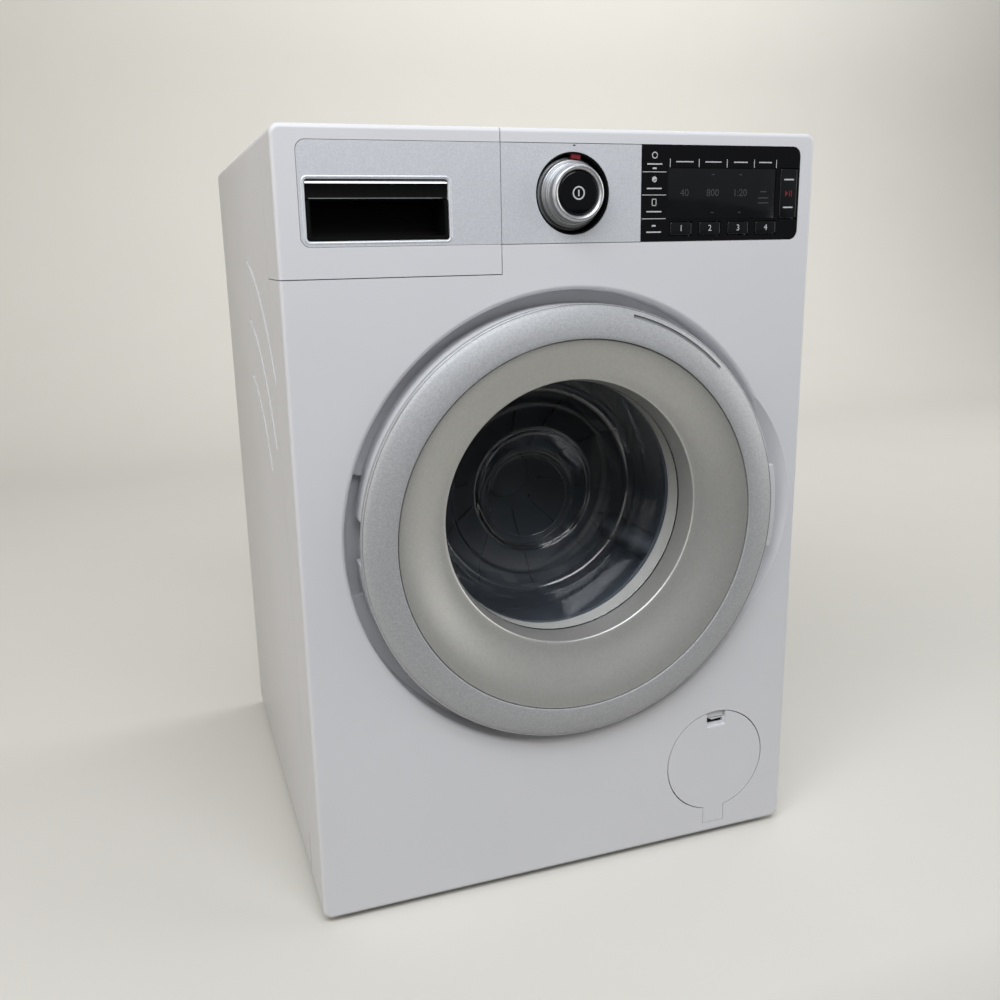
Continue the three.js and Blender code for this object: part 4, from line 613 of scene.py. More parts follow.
# Depths of the faces that carry ink.
PANEL_FACE, KEY_FACE, WINDOW_FACE, POWER_FACE = 0, -0.2, 0.2, -4.4
HANDLE = (-81.8, -39.2, 227.6, 244.6)
BAR_FOOT = 238.8
POCKET = (HANDLE[0] - 0.3, HANDLE[1] + 0.3, HANDLE[2] - 0.3, HANDLE[3] + 0.3)
RING_EDGE, RING_STEP, RING_WIDTH = 74.7, 63.4, 11.3
print("the door's radius and the case's width:", RING_EDGE, 2 * HALF)

# %% [markdown]
# ## The front shell
# On the real toy the whole front is one white moulding, 3 mm thick, with a deep round recess for the door.
# It could be drawn face by face, but a machinist's way is easier to follow: start from a block with a
# rounded rim, hollow it, add what stands inside, and cut the recess, the finger scoop and all openings.
# Round tools have 144 sides, so the big circle stays smooth even in a close view.

# %% Front shell: block, hollow and what stands inside
def front_block(name):
    """The block with a rounded rim that the front shell and the drawer front are cut from."""
    return shape(name, plate, -HALF, HALF, 2, 260, [3, 3, 3, 3], 0, 25, rim=1.5, steps=6)


def key_holes(front, back):
    """Cutting tools for the holes of the five keys."""
    places = [((x, KEY_Z), KEY_HALF) for x in KEY_X] + [(START, START_HALF)]
    return [block_tool(x - wide - KEY_GAP, x + wide + KEY_GAP, front, back,
                       z - high - KEY_GAP, z + high + KEY_GAP) for (x, z), (wide, high) in places]


front_shell = front_block("front_shell_moulding")
carve(front_shell, [block_tool(-HALF + WALL, HALF - WALL, 3, 27, 4.2, INSIDE_TOP)])
posts = [(side * (HALF - 7.2), z) for side in (-1, 1) for z in (9.2, 208)]
board_posts = [(x, z) for x in (-15.2, 83.8) for z in (227.7, 253.5)]
carve(front_shell, [
    round_tool(DOOR, 81.1, 1, 12.2, sides=72),
    round_tool(SCOOP, 57.8, 1, 10.2, sides=72),
    block_tool(-HALF + 1, SEAM_X + WALL_FAR, 1, 25, SEAM_Z - WALL_FAR, SEAM_Z - WALL_NEAR),
    block_tool(SEAM_X + WALL_NEAR, SEAM_X + WALL_FAR, 1, 25, SEAM_Z - WALL_FAR, 259),
    *[round_tool(place_of, 4.2, 1, 183.3, sides=24) for place_of in posts],
    *[round_tool(place_of, 2, 1, 9.7, sides=20) for place_of in board_posts],
], "UNION")
print("vertices so far:", len(front_shell.data.vertices))

# %% Front shell: recess, scoop and openings
recess = rounded([(0, -2, 0, 0), (80.4, -2, 0, 0), (80.4, 0, 0, 0)], closed=False)
recess += [Vector((78.9 + 1.5 * (1 - math.sin(a)), 1.5 * (1 - math.cos(a)), 0))
           for a in [k / 6 * math.pi / 2 for k in range(1, 7)]]
recess += [Vector((78.9, 9.4, 0)), Vector((78.7, 9.8, 0)), Vector((78.3, 10, 0)), Vector((0, 10, 0))]
scoop = [(0, -2, 0), (59.8, -2, 0), (57.8, 0, 0), (49.8, 8, 0), (0, 8, 0)]
slot_turn = math.degrees(math.asin(20.2 / RING_EDGE))
slot_middle = 180 - math.degrees(math.asin(2.1 / RING_EDGE))
hinge_slot = sector(DOOR, 67.3, 79.4, slot_middle - slot_turn, slot_middle + slot_turn)
carve(front_shell, [
    tool_of(turn, recess, DOOR, 180, closed=False),
    tool_of(turn, scoop, SCOOP, 180, closed=False),
    round_tool(DRUM, 50.5, 0, 14.2),
    tool_of(prism, hinge_slot, 2.2, 14.2),
    block_tool(67.5, 73.5, 0, 14.2, 125.3, 139.3),
    block_tool(-HALF - 5, SEAM_X + SEAM, -2, 27, SEAM_Z - SEAM, 265),
    tool_of(plate, SEAM_X - 2, DISPLAY_RIGHT + 0.15, PANEL_LOW - 0.2, PANEL_HIGH + 0.2,
            [0, 3, 3, 0], -2, 1.8),
    round_tool(DIAL, 13.2, 0, 5, sides=96),
    *key_holes(0, 5),
    round_tool(FLAP, 20.5, -2, 5),
    block_tool(FLAP[0] - 4.5, FLAP[0] + 4.5, -2, 5, 6.1, 32.6),
])
soften(front_shell, 0.15)
dress(front_shell, "case", white_abs, "white_shell", "front_shell")
print("front shell faces:", len(front_shell.data.polygons))

# %% [markdown]
# ## The drawer front
# The top left corner of the front is the drawer. It is cut from the same block as the front shell, so its
# rim runs on without a step, and only a seam of a quarter of a millimetre shows between the two.

# %% Drawer front
drawer_front = front_block("drawer_front_moulding")
carve(drawer_front, [block_tool(-HALF - 5, SEAM_X - SEAM, -2, 27, SEAM_Z + SEAM, 265)], "INTERSECT")
carve(drawer_front, [
    block_tool(-HALF + WALL, SEAM_X - WALL_FAR, 3, 27, SEAM_Z + WALL_FAR, INSIDE_TOP),
    tool_of(plate, FASCIA_LEFT - SEAM, SEAM_X + 2, PANEL_LOW - SEAM, PANEL_HIGH + SEAM,
            [3, 0, 0, 3], -2, 1.8),
    block_tool(*POCKET[:2], 0, 5, *POCKET[2:]),
])
soften(drawer_front, 0.15)
dress(drawer_front, "drawer", white_abs, "white_shell", "drawer_front")
print("drawer front faces:", len(drawer_front.data.polygons))

# %% [markdown]
# ## Fascias and display
# Two silver plates and a black one fill the panel. The drawer's plate has a raised lip round its pocket,
# which the photograph shows as a bright line. The lip is a hoop: one small section that runs round a
# rectangle, joined to the plate. The display is one sheet with a shallow pocket for the window and holes
# for the keys.

# %% Fascias
panel_fascia = shape("panel_fascia_plate", plate, SEAM_X + SEAM, 25.55, PANEL_LOW, PANEL_HIGH,
                     [0, 0, 0, 0], 0, 1.5)
carve(panel_fascia, [round_tool(DIAL, 12.5, -2, 5, sides=120)])
soften(panel_fascia, 0.1)
dress(panel_fascia, "case", silver_paint, "silver_paint", "panel_fascia")

drawer_fascia = shape("drawer_fascia_plate", plate, FASCIA_LEFT, SEAM_X - SEAM, PANEL_LOW, PANEL_HIGH,
                      [3, 0, 0, 3], 0, 1.5)
carve(drawer_fascia, [tool_of(plate, *POCKET, [1, 1, 1, 1], -2, 3)])
lip = [(1.0, 0.3), (0.95, 0.05), (0.75, -0.12), (0.5, -0.18), (0.25, -0.1), (-0.1, 0.35), (-0.1, 1.2),
       (1.0, 1.2)]
carve(drawer_fascia, [tool_of(hoop, POCKET, 1.0, lip)], "UNION")
soften(drawer_fascia, 0.1)
dress(drawer_fascia, "drawer", silver_paint, "silver_paint", "drawer_fascia")

# %% Display
display = shape("display_sheet", plate, DISPLAY_LEFT, DISPLAY_RIGHT, PANEL_LOW, PANEL_HIGH,
                [0, 3, 3, 0], 0, 1.5)
carve(display, [block_tool(35.2, 76.1, -2, 0.9, 232.5, 248.7), *key_holes(-2, 3)])
soften(display, 0.15)
dress(display, "case", black_acrylic, "black_gloss", "display_panel")

window = shape("display_window_sheet", plate, 35.3, 76.0, 232.6, 248.6, [0.2, 0.2, 0.2, 0.2],
               WINDOW_FACE, 0.8, rim=0.1, steps=2)
dress(window, "case", window_acrylic, "black_gloss", "display_window")
print("panel plates:", panel_fascia.name, drawer_fascia.name, display.name, window.name)

# %% [markdown]
# ## Keys
# Each key is a cap that stands a hair proud of the sheet, a flange behind the wall that keeps it in, and a
# stem that meets its switch. They are one moulding, so they are one mesh.

# %% Keys
def key(name, centre, half, body, node):
    """A key with a rounded cap, a flange and a stem; half is half its width and half its height."""
    (x, z), (wide, high) = centre, half
    grow = 0.5
    flange = corners_of(x - wide - grow, x + wide + grow, z - high - grow, z + high + grow)
    bm = bmesh.new()
    plate(bm, x - wide, x + wide, z - high, z + high, [0.5] * 4, KEY_FACE, 4.3, rim=0.25)
    prism(bm, flange, 3.3, 4.3)
    prism(bm, corners_of(x - 1.2, x + 1.2, z - 1.2, z + 1.2), 3.4, 6.3)
    dress(as_object(bm, name), body, key_acrylic, "black_gloss", node)


for i, x in enumerate(KEY_X):
    key(f"program_key_cap_{i + 1}", (x, KEY_Z), KEY_HALF, f"key_{i + 1}", f"program_key_{i + 1}")
key("start_key_cap", START, START_HALF, "start", "start_button")
print("keys: 5")

# %% [markdown]
# ## Dial
# The dial is three turned pieces, one in the other: a black well let into the fascia, a silver knob with a
# stepped skirt and a narrow bright rim, and a black button that fills the knob.

# %% Dial
well = [(12.4, 0.1, 0, 0.1), (12.4, 3.3, 0, 0), (14.9, 3.3, 0, 0.2), (14.9, 4.3, 0, 0.2),
        (12.9, 4.3, 0, 0), (12.9, 6.2, 0, 0.3), (3.2, 6.2, 0, 0), (3.2, 4.8, 0, 0.2), (12.0, 4.8, 0, 0.4),
        (12.0, 0.1, 0, 0.15)]
turned_piece("dial_well_cup", well, DIAL, 120, "case", black_abs, "black_gloss", "dial_well")

knob = [(11.2, 4.2, 0, 0.15), (11.2, 2.5, 0, 0.35), (10.4, 2.4, 0, 0.1), (10.3, 0.9, 0, 0.35),
        (9.5, 0.8, 0, 0.1), (9.4, -0.7, 0, 0.35), (8.7, -0.8, 0, 0.1),
        (8.7, -4.2, 0, 0.5), (8.25, -4.95, 0, 0.3), (7.775, -5.2, 0, 0.3), (7.1, -4.75, 0, 0.3),
        (6.85, -4.2, 0, 0.2), (6.85, 0.5, 0, 0), (1.4, 0.5, 0, 0), (1.4, 7.4, 0, 0), (2.9, 7.4, 0, 0.3),
        (2.9, 4.2, 0, 0)]
turned_piece("selector_knob_ring", knob, DIAL, 120, "dial", plated_silver, "silver_paint", "selector_knob")

power = [(0, POWER_FACE, 0, 0), (6.55, POWER_FACE, 0, 0.5), (6.55, -2.9, 0, 0.1), (1.1, -2.9, 0, 0),
         (1.1, 6.9, 0, 0.2), (0, 6.9, 0, 0)]
turned_piece("power_button_cap", power, DIAL, 96, "power", black_acrylic, "black_gloss", "power_button",
             closed=False)
print("dial at", DIAL)

# %% [markdown]
# ## Handle of the drawer
# A bar of black chrome crosses the top of a black pocket. The bar's face leans back at its foot, so it
# mirrors the floor's painted dark band far in front, and a narrow facet along its top mirrors the lamp as a
# white line.
# That line is what the eye reads as chrome. The pocket keeps the shape of the imported model.

# %% Handle bar
section = rounded([(2.8, HANDLE[3], 0, 0.2), (0.8, HANDLE[3], 0, 0.1), (0.3, 243.6, 0, 0.1),
                   (0.95, 239.5, 0, 0.2), (1.7, BAR_FOOT, 0, 0.2), (2.8, BAR_FOOT, 0, 0.2)])
ends = [[place(x, point.x, point.y) for point in section] for x in HANDLE[:2]]
dress(shape("handle_bar_chrome", stack, ends), "drawer", black_chrome, "dark_chrome", "handle_bar")
print("bar height:", round(HANDLE[3] - BAR_FOOT, 1))

# %% [markdown]
# ## The door's rings
# The silver ring is a shallow crown that rises from its rim to a step. The grey ring starts just below that
# step and dips to the opening like a dish. The dish isn't round about one centre: the opening sits 4.1 mm
# higher than the rim, so each ring of vertices is lifted by its share of the way. A short slot is let into
# the silver ring at its upper right. Along the ring's outer edge runs a polished bead, half a millimetre
# thick, which draws the thin bright line where the ring meets the recess. Its silver is lighter than the
# ring's, a painted highlight along that line.

# %% Silver ring
def crown(radius):
    """Depth of the silver ring's face."""
    share = (RING_EDGE - radius) / RING_WIDTH
    return -4.8 - 3.0 * share * (2 - share)


shares = [0.07, 0.16, 0.28, 0.42, 0.56, 0.7, 0.84, 0.93]
face = [(RING_EDGE - s * RING_WIDTH, crown(RING_EDGE - s * RING_WIDTH), 0, 0) for s in shares]
ring = [(RING_EDGE, -4.3, 0, 0.5), *face, (63.7, -7.68, 0, 0.4), (63.7, crown(63.7) + 1.4, 0, 0),
        (73.3, crown(73.3) + 1.4, 0, 0), (73.3, -2.2, 0, 0), (RING_EDGE, -2.2, 0, 0.15)]
door_ring = shape("door_ring_silver", turn, rounded(ring), DOOR, 240, sharp=50)
ring_slot = tool_of(prism, sector(DOOR, 71.7, 72.95, 45.2, 75.5, 48), -10, crown(72.3) + 0.9)
carve(door_ring, [ring_slot], sharp=50)
dress(door_ring, "door", ring_paint, "silver_paint", "door_ring")
# The bead's lighter silver is a painted highlight round the ring's edge.
bead_radius, bead_middle = 0.28, (74.42, -4.62)
bead = [(bead_middle[0] + bead_radius * math.cos(a), bead_middle[1] - bead_radius * math.sin(a), 0)
        for a in [k * math.pi / 6 for k in range(12)]]
dress(shape("door_ring_edge", turn, bead, DOOR, 240), "door", edge_silver_painted_highlight, "silver_paint")
print("crown from", crown(RING_EDGE), "to", round(crown(RING_STEP), 2))

# %% Grey inner ring
def dish(share, behind):
    """A point of the grey ring's face at a share of the way to the opening."""
    ease = share * share * (3 - 2 * share)
    return RING_STEP - share * 17.7, behind - 7.3 * (1 - (share + ease) / 2), LIFT * share


front_face = [(*dish(k / 16, 0), 0.3 if k == 0 else 0) for k in range(16)]
back_face = [(*dish(s, 1.6), 0) for s in (0.9, 0.75, 0.6, 0.45, 0.3, 0.15, 0)]
inner_ring = [*front_face, (45.7, 0.15, LIFT, 0.9), (44.5, 8.7, LIFT, 0.2), (46.1, 8.7, LIFT, 0), *back_face]
turned_piece("door_inner_ring_grey", inner_ring, DOOR, 240, "door", grey_paint, "grey_paint",
             "door_inner_ring")
print("the opening lies", LIFT, "mm over the ring's middle")

# %% [markdown]
# ## Bowl
# The bowl is one clear moulding: a flange clamped behind the grey ring, a tapered wall, a step, and a round
# cup with a flat disc. The disc leans back to the ring's centre, so its lift is zero, and a fine raised
# line runs round near its edge. Both faces of the wall are modelled, because light bends at each. How steep
# the cup's wall stands matters much: a shallow wall mirrors the bright room as a broad grey patch, and a
# steep one keeps the cup dark with a thin bright line at each edge.

# %% Bowl
bowl = [(0, 44.6, 0, 0), (15.4, 44.6, 0, 0.1), (15.6, 44.3, 0, 0.1), (16.4, 44.3, 0, 0.1),
        (16.6, 44.6, 0, 0.1), (18, 44.6, 0, 0.9), (21.5, 37.6, LIFT, 1.2), (31.8, 37.6, LIFT, 0.5),
        (32.8, 38.6, LIFT, 0.5), (38.1, 38.6, LIFT, 1.6), (40.3, 35.4, LIFT, 1.8), (44.5, 9.3, LIFT, 0.4),
        (49.9, 9.3, LIFT, 0.2), (49.9, 10.8, LIFT, 0.2), (46.0, 10.8, LIFT, 0.4), (41.8, 36.15, LIFT, 1.8),
        (38.85, 40.1, LIFT, 1.6), (23.2, 39.1, LIFT, 1.2), (19.6, 46.1, 0, 1.2), (0, 46.1, 0, 0)]
turned_piece("door_bowl_clear", bowl, DOOR, 192, "door", smoked_pc, "clear_smoke", "door_bowl",
             closed=False, steps=6)
print("bowl depth:", 46.1 - 9.3)

# %% [markdown]
# ## Body of the door
# Behind the rings is a white moulding that carries them. It shows as the pull tab at the right and at the
# back when the door stands open. It is turned like the rings, then the tab and the latch tongue are joined
# to it, and the notch for the hinge and the bore for its pin are cut.

# %% Door body
behind_dish = [dish(s, 1.9) for s in (0, 0.15, 0.3, 0.45, 0.6, 0.75, 0.9)]
behind = [(max(radius, 47.6), depth, lift, 0) for radius, depth, lift in behind_dish]
body_profile = [(74.3, -1.9, 0, 0.15), (73.0, -1.9, 0, 0), (73.0, crown(73.0) + 1.7, 0, 0),
                (63.7, crown(63.7) + 1.7, 0, 0), *behind, (47.6, 9, LIFT, 0.3), (74.3, 9, 0, 0.6)]
door_body = shape("door_body_white", turn, rounded(body_profile), DOOR, 180)
tab = sector(DOOR, 66, 77.6, -11.3, 11.3, 24)
carve(door_body, [
    tool_of(prism, tab, -2.9, 1.6),
    block_tool(68.5, 70.5, -1.9, 16, DOOR[1] - 6, DOOR[1] + 6),
], "UNION")
pin_line = [place(-68.0, -0.5, z) for z in (121.1, 147.7)]
carve(door_body, [
    block_tool(-76, -63.4, -7.8, 11, 127.1, 141.7),
    tool_of(rod, *pin_line, 1.3),
])
soften(door_body, 0.3)
dress(door_body, "door", white_abs, "white_shell", "door_body")
print("door body faces:", len(door_body.data.polygons))

# %% [markdown]
# ## Gasket and drum
# The gasket is a soft ring between the door and the drum. The drum has a lipped mouth, three lifters that
# tumble the clothes, and a ribbed back round its hub. Lifters and ribs are plain prisms, turned to their
# places about the axis, in one mesh with the wall.

# %% Gasket
gasket = [(47.1, 11.1, 0, 0.6), (50.2, 11.1, 0, 0.4), (50.2, 12.5, 0, 0), (53.7, 12.5, 0, 0.2),
          (53.7, 14.0, 0, 0.2), (49.3, 14.0, 0, 0.3), (48.1, 18.5, 0, 0.6), (46.2, 18.5, 0, 0.6),
          (47.1, 14.0, 0, 0.5)]
turned_piece("door_gasket_ring", gasket, DRUM, 144, "case", grey_elastomer, "soft_grey", "door_gasket")
print("gasket length:", 18.5 - 11.1)

# %% Drum
def about_drum(points, degrees):
    """Turns points in the drum's own X and Z about its axis and puts them in place."""
    a = math.radians(degrees)
    return [(DRUM[0] + x * math.cos(a) - z * math.sin(a), DRUM[1] + x * math.sin(a) + z * math.cos(a))
            for x, z in points]


bm = bmesh.new()
drum = [(46.2, 19.2, 0, 0.6), (58, 19.2, 0, 1.2), (58, 75.85, 0, 0.8), (56.65, 77.2, 0, 0.8), (7, 77.2, 0, 0),
        (7, 78.2, 0, 0.2), (3.1, 78.2, 0, 0), (3.1, 70.3, 0, 0), (9, 70.3, 0, 0), (10.6, 74.5, 0, 0.8),
        (56.4, 74.5, 0, 2.0), (56.4, 20.8, 0, 0.8), (46.2, 20.8, 0, 0.6)]
turn(bm, rounded(drum), DRUM, 144)
hub = [(0, 68.7, 0, 0), (9, 68.7, 0, 0.8), (9, 70.4, 0, 0), (0, 70.4, 0, 0)]
turn(bm, rounded(hub, closed=False), DRUM, 96, closed=False)
for i in range(3):
    crest = [(57.2, 6), (54.5, 5.2), (49.5, 3.2), (48.0, 2.2), (47.4, 1.0), (47.4, -1.0), (48.0, -2.2),
             (49.5, -3.2), (54.5, -5.2), (57.2, -6)]
    prism(bm, about_drum(crest, 90 - 120 * i), 20, 74.9)
for i in range(12):
    prism(bm, about_drum(corners_of(16, 54.8, -0.6, 0.6), (i + 0.5) * 30), 73.3, 75.0)
drum_piece = as_object(bm, "drum_moulding")
dress(drum_piece, "drum", charcoal_pp, "charcoal", "drum")
print("drum faces:", len(drum_piece.data.polygons))

# %% [markdown]
# ## Filter flap
# The flap is a disc with a tab at its foot, where its pin runs, and a notch at the top for a fingernail. It
# is drawn as one outline: round the circle, in at the notch and out at the tab. A thin web closes the notch
# behind, so that a fingernail finds a hold, and a small opening in the web leaves room for the catch.

# %% Filter flap
def flap_outline():
    """Points round the flap, from the right side of the notch, clockwise in angle to its left side."""
    radius = 20.1
    notch = math.degrees(math.acos(4.1 / radius))
    foot = -math.degrees(math.acos(4.33 / radius))
    right_side = [math.radians(notch + (foot - notch) * k / 60) for k in range(61)]
    points = [(radius * math.cos(a), radius * math.sin(a)) for a in right_side]
    points += [(4.33, -26.33), (-4.33, -26.33)]
    points += [(-x, z) for x, z in reversed(points[:61])]
    points += [(-4.1, 14.0), (4.1, 14.0)]
    return [(FLAP[0] + x, FLAP[1] + z) for x, z in points]


flap = shape("service_flap_disc", prism, flap_outline(), 0, 2.6)
hinge_line = [place(x, 1.3, 9.0) for x in (FLAP[0] - 6, FLAP[0] + 6)]
finger_hold = block_tool(FLAP[0] - 4.3, FLAP[0] + 4.3, 1.5, 2.6, FLAP[1] + 13.7, FLAP[1] + 17.1)
carve(flap, [finger_hold], "UNION")
catch_way = [(-4.0, 14.8), (3.4, 15.0), (3.4, 16.6), (-1.2, 16.3), (-3.4, 17.6), (-4.0, 17.6)]
catch_way = [(FLAP[0] + x, FLAP[1] + z) for x, z in catch_way]
carve(flap, [
    tool_of(rod, *hinge_line, 0.95),
    tool_of(prism, catch_way, 1, 3),
])
soften(flap, 0.15)
dress(flap, "flap", white_abs, "white_shell", "service_flap")
print("flap outline points:", len(flap_outline()))

# %% [markdown]
# ## Marks on the panel
# A toy panel carries marks: short bars, plain numbers, a play and pause sign, and the ring and line that
# stand for power. They lie on their surfaces as films of ink. Numbers start as a text object, which Blender
# turns into a mesh.

# %% Marks
INK_PROUD, INK_SUNK = 0.03, 0.05


def mark(name, shapes, surface, body, material, slot):
    """Films of ink from outlines, on a surface at that depth."""
    bm = bmesh.new()
    for points in shapes:
        prism(bm, points, surface - INK_PROUD, surface + INK_SUNK)
    dress(as_object(bm, name), body, material, slot)


def number(name, text, centre, height, surface, body, material, slot):
    """A number as ink, centred on a point of the panel."""
    curve = bpy.data.curves.new(name, "FONT")
    curve.body, curve.size = text, height * 1.38 * MM
    curve.align_x, curve.align_y = "CENTER", "CENTER"
    curve.extrude = (INK_PROUD + INK_SUNK) / 2 * MM
    source = bpy.data.objects.new(name, curve)
    bpy.context.scene.collection.objects.link(source)
    bpy.context.view_layer.update()
    mesh = bpy.data.meshes.new_from_object(source.evaluated_get(bpy.context.evaluated_depsgraph_get()))
    bpy.data.objects.remove(source)
    middle = place(centre[0], surface + (INK_SUNK - INK_PROUD) / 2, centre[1])
    mesh.transform(Matrix.Translation(middle) @ Matrix.Rotation(math.pi / 2, 4, "X"))
    made = bpy.data.objects.new(name, mesh)
    bpy.context.scene.collection.objects.link(made)
    dress(made, body, material, slot)


def bar(x, z, width, height):
    """A rectangle about a point."""
    return corners_of(x - width / 2, x + width / 2, z - height / 2, z + height / 2)


column = [bar(30.3, z, 8.6, 0.22) for z in (247.3, 240.2, 232.8)]
column += [bar(30.3, 248.4, 1.4, 0.5), bar(30.3, 230.6, 1.4, 0.5)]
column += [bar(30.3, z, 5.4, 0.4) for z in (249.7, 242.2, 235.0, 228.6)]
column += [sector((30.3, 252.4), 0.75, 1.05, 0, 350, 24), sector((30.3, 245.0), 0, 0.9, 0, 350, 24)]
column += [bar(x, 237.9, 0.25, 2.2) for x in (29.6, 31.0)] + [bar(30.3, z, 1.6, 0.25) for z in (238.9, 236.9)]
mark("display_column_marks", column, PANEL_FACE, "case", pale_ink, "soft_grey")
ticks = [bar(x, 250.1, 0.22, 2.6) for x in (35.9, 46.5, 57.0, 67.4, 76.0)]
labels = [bar(x, 250.5, w, 0.35) for x, w in ((41.2, 6.4), (51.8, 6.0), (62.2, 5.2), (71.7, 5.0))]
mark("display_header_marks", ticks + labels, PANEL_FACE, "case", pale_ink, "soft_grey")
print("marks on the display:", len(column) + len(ticks) + len(labels))

# %% Numbers and signs
for i, (text, x) in enumerate((("40", 41.5), ("800", 52.0), ("1:20", 62.4))):
    number(f"display_number_{i + 1}", text, (x, 240.8), 2.3, WINDOW_FACE, "case", faint_ink, "charcoal")
small = [bar(x, z, 1.0, 0.3) for x in (52.0, 62.4) for z in (246.6, 234.6)]
small += [bar(71.5, z, w, 0.35) for z, w in ((241.2, 2.4), (239.2, 4.0), (237.6, 4.0))]
mark("display_small_marks", small, WINDOW_FACE, "case", faint_ink, "charcoal")
for i, x in enumerate(KEY_X):
    number(f"key_number_{i + 1}", str(i + 1), (x, KEY_Z), 2.0, KEY_FACE, f"key_{i + 1}", pale_ink,
           "soft_grey")
mark("start_key_bars", [bar(START[0], START[1] + z, 3.8, 0.45) for z in (4.5, -4.5)], KEY_FACE, "start",
     pale_ink, "soft_grey")
play = [(START[0] - 1.3, START[1] - 1.0), (START[0] - 0.1, START[1]), (START[0] - 1.3, START[1] + 1.0)]
pause = [bar(START[0] + x, START[1], 0.35, 2.0) for x in (0.45, 1.15)]
mark("start_key_sign", [play, *pause], KEY_FACE, "start", red_ink, "charcoal")
mark("power_sign", [sector(DIAL, 1.6, 2.05, 0, 359.9, 48), bar(*DIAL, 0.45, 1.9)], POWER_FACE, "power",
     pale_ink, "soft_grey")
mark("fascia_tick", [bar(2.2, 255.0, 0.8, 0.4)], PANEL_FACE, "case", dark_ink, "charcoal")
pointer = shape("dial_pointer", prism, sector(DIAL, 10.55, 12.15, 76, 92, 8), 0.5, 2.3)
dress(pointer, "case", red_ink, "charcoal")
print("signs: power, play and pause, pointer")

# %% [markdown]
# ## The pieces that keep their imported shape
# The rest of the toy is flat-sided, or hidden behind something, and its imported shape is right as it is.
# Those pieces only need a finish and smooth shading on their round faces. The file stores each triangle by
# itself, so the weld modifier joins them without touching the mesh, and edge split keeps the real edges
# crisp.

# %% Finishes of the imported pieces
finishes = {
    white_abs: ["rear_shell", "battery_door", "door_hinge_bracket", "drawer_tray", "drawer_guide",
                "filter_housing"],
    foot_elastomer: ["foot_front_left", "foot_front_right", "foot_rear_left", "foot_rear_right"],
    zinc_steel: ["case_screw_1", "case_screw_2", "case_screw_3", "case_screw_4", "battery_door_screw",
                 "battery_contact_lower", "battery_contact_upper", "door_hinge_pin", "drum_shaft",
                 "idler_pin", "motor_shaft", "drive_motor", "flap_pin"],
    cell_sleeve: ["battery_1", "battery_2", "battery_3", "battery_4"],
    charcoal_pp: ["door_catch", "drum_tub", "gear_plate", "speaker"],
    drawn_brass: ["drum_bush", "motor_pinion"],
    cream_acetal: ["drum_gear", "idler_gear"],
    board_green: ["circuit_board"],
    black_abs: ["handle_cup"],
    grey_elastomer: ["filter_cap"],
}
for material, names in finishes.items():
    for name in names:
        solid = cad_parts[name]
        solid.data.materials.clear()
        solid.data.materials.append(material)
        if "custom_normal" in solid.data.attributes:
            solid.data.attributes.remove(solid.data.attributes["custom_normal"])
        solid.data.polygons.foreach_set("use_smooth", [True] * len(solid.data.polygons))
        weld = solid.modifiers.new("join_triangles", "WELD")
        weld.merge_threshold = 0.001 * MM
        crisp = solid.modifiers.new("crisp_edges", "EDGE_SPLIT")
        crisp.split_angle = math.radians(32)
dressed = {name for names in finishes.values() for name in names}
undressed = [name for name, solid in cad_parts.items()
             if not solid.hide_render and name not in dressed]
print("packed pieces with a finish:", len(dressed), "without one:", undressed)

# %% [markdown]
# ## Floor, backdrop and light
# A photographer's sweep is one sheet that lies flat and curves up behind, so that no horizon shows. It is
# pale and matt. The photograph's light is soft, so every lamp is a wide one: the first hangs high in front,
# weaker ones stand at the left, beside the toy and at the right, one more lights only the wall, and the
# room gives a dim, even fill.
#
# Two things about the floor matter for the toy. In front of it the paper is painted dark, a painted shade
# that stands in for an unlit room, because the bar of the handle mirrors what lies there and should show
# nearly black. And to bounced light the paper counts as half as bright, so the floor doesn't light the toy
# from below. The Light Path node tells such rays apart: rays from the camera, mirrored rays and rays through
# the bowl see the full colour.

# %% Sweep
bm = bmesh.new()
wall_y, bend = 1.2, 0.5
line = [(-3.0, 0.0), (wall_y - bend, 0.0)]
line += [(wall_y - bend + bend * math.sin(a), bend - bend * math.cos(a))
         for a in [k / 16 * math.pi / 2 for k in range(1, 17)]]
line += [(wall_y, 3.0)]
rows = [[bm.verts.new((x, y, z)) for x in (-4.0, 4.0)] for y, z in line]
for low, high in zip(rows, rows[1:]):
    bm.faces.new((low[0], low[1], high[1], high[0]))
sweep = as_object(bm, "paper_sweep", sharp=80)
paper, tree, point = new_material("matt_paper")
fibre = add_node(tree, "ShaderNodeTexNoise", {"Vector": point, "Scale": grain_of(80), "Detail": 2.0})
tone = add_node(tree, "ShaderNodeMix", {0: fibre.outputs["Fac"], 6: linear("DDDBD4"), 7: linear("E0DED7")},
                data_type="RGBA")
where = add_node(tree, "ShaderNodeSeparateXYZ", {"Vector": point})
# Darker towards the front: a painted shade that stands in for an unlit room, which the chrome bar mirrors.
near = add_node(tree, "ShaderNodeMapRange",
                {"Value": where.outputs["Y"], "From Min": -0.42, "From Max": -0.17})
painted_dark_front = add_node(tree, "ShaderNodeMix", {0: near.outputs["Result"], 6: linear("2B2B2A"), 7: tone.outputs[2]},
                data_type="RGBA")
ray = add_node(tree, "ShaderNodeLightPath")
seen = add_node(tree, "ShaderNodeMath", {0: ray.outputs["Is Camera Ray"], 1: ray.outputs["Is Glossy Ray"]},
                operation="ADD")
seen = add_node(tree, "ShaderNodeMath", {0: seen.outputs["Value"], 1: ray.outputs["Is Transmission Ray"]},
                operation="ADD", use_clamp=True)
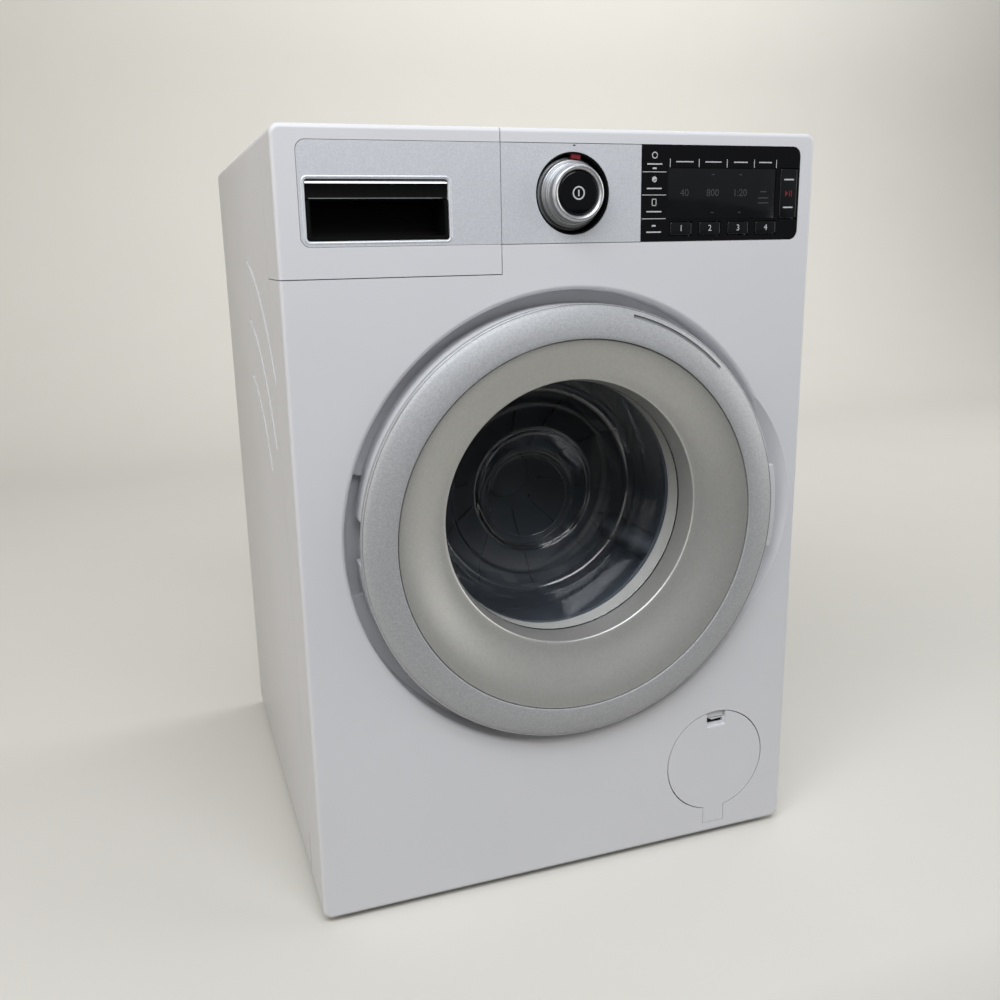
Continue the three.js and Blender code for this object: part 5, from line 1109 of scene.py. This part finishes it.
share = add_node(tree, "ShaderNodeMapRange", {"Value": seen.outputs["Value"], "To Min": 0.5, "To Max": 1.0})
paper_tone = add_node(tree, "ShaderNodeMix",
                      {0: share.outputs["Result"], 6: linear("000000"), 7: painted_dark_front.outputs[2]},
                      data_type="RGBA")
shader = add_node(tree, "ShaderNodeBsdfPrincipled",
                  {"Base Color": paper_tone.outputs[2], "Roughness": 0.9, "Specular IOR Level": 0.1})
add_node(tree, "ShaderNodeOutputMaterial", {"Surface": shader.outputs["BSDF"]})
sweep.data.materials.append(paper)

# %% Lamps and room
def soft_lamp(name, position, target, width, height, watts, colour):
    """A rectangular area lamp that points at a target; positions and sizes in metres."""
    lamp = bpy.data.lights.new(name, "AREA")
    lamp.shape, lamp.size, lamp.size_y = "RECTANGLE", width, height
    lamp.energy, lamp.color = watts, linear(colour)[:3]
    holder = bpy.data.objects.new(name, lamp)
    holder.location = position
    way = Vector(target) - Vector(position)
    holder.rotation_mode = "QUATERNION"
    holder.rotation_quaternion = way.to_track_quat("-Z", "Y")
    bpy.context.scene.collection.objects.link(holder)


soft_lamp("front_lamp", (-0.2, -0.5, 0.76), (0, 0, 0.18), 0.9, 0.4, 6.3, "F8FAFF")
soft_lamp("left_lamp", (-1.2, -0.6, 0.4), (0, 0, 0.13), 0.9, 0.9, 3.6, "FFFBF4")
soft_lamp("side_lamp", (-1.3, 0.1, 0.5), (0, 0, 0.13), 0.9, 0.9, 1.7, "FFE6C6")
soft_lamp("right_lamp", (1.3, -0.4, 0.4), (0, 0, 0.13), 0.9, 0.9, 6.9, "FFFDFA")
soft_lamp("wall_lamp", (0.62, 0.35, 1.4), (0.55, 1.2, 1.0), 1.1, 1.1, 16.5, "FFFFFF")
world = bpy.data.worlds.new("room")
bpy.context.scene.world = world
world.use_nodes = True
world.node_tree.nodes.clear()
room = add_node(world.node_tree, "ShaderNodeBackground", {"Color": linear("F2F2F0"), "Strength": 0.13})
add_node(world.node_tree, "ShaderNodeOutputWorld", {"Surface": room.outputs["Background"]})
bpy.context.scene.view_settings.view_transform = "Standard"
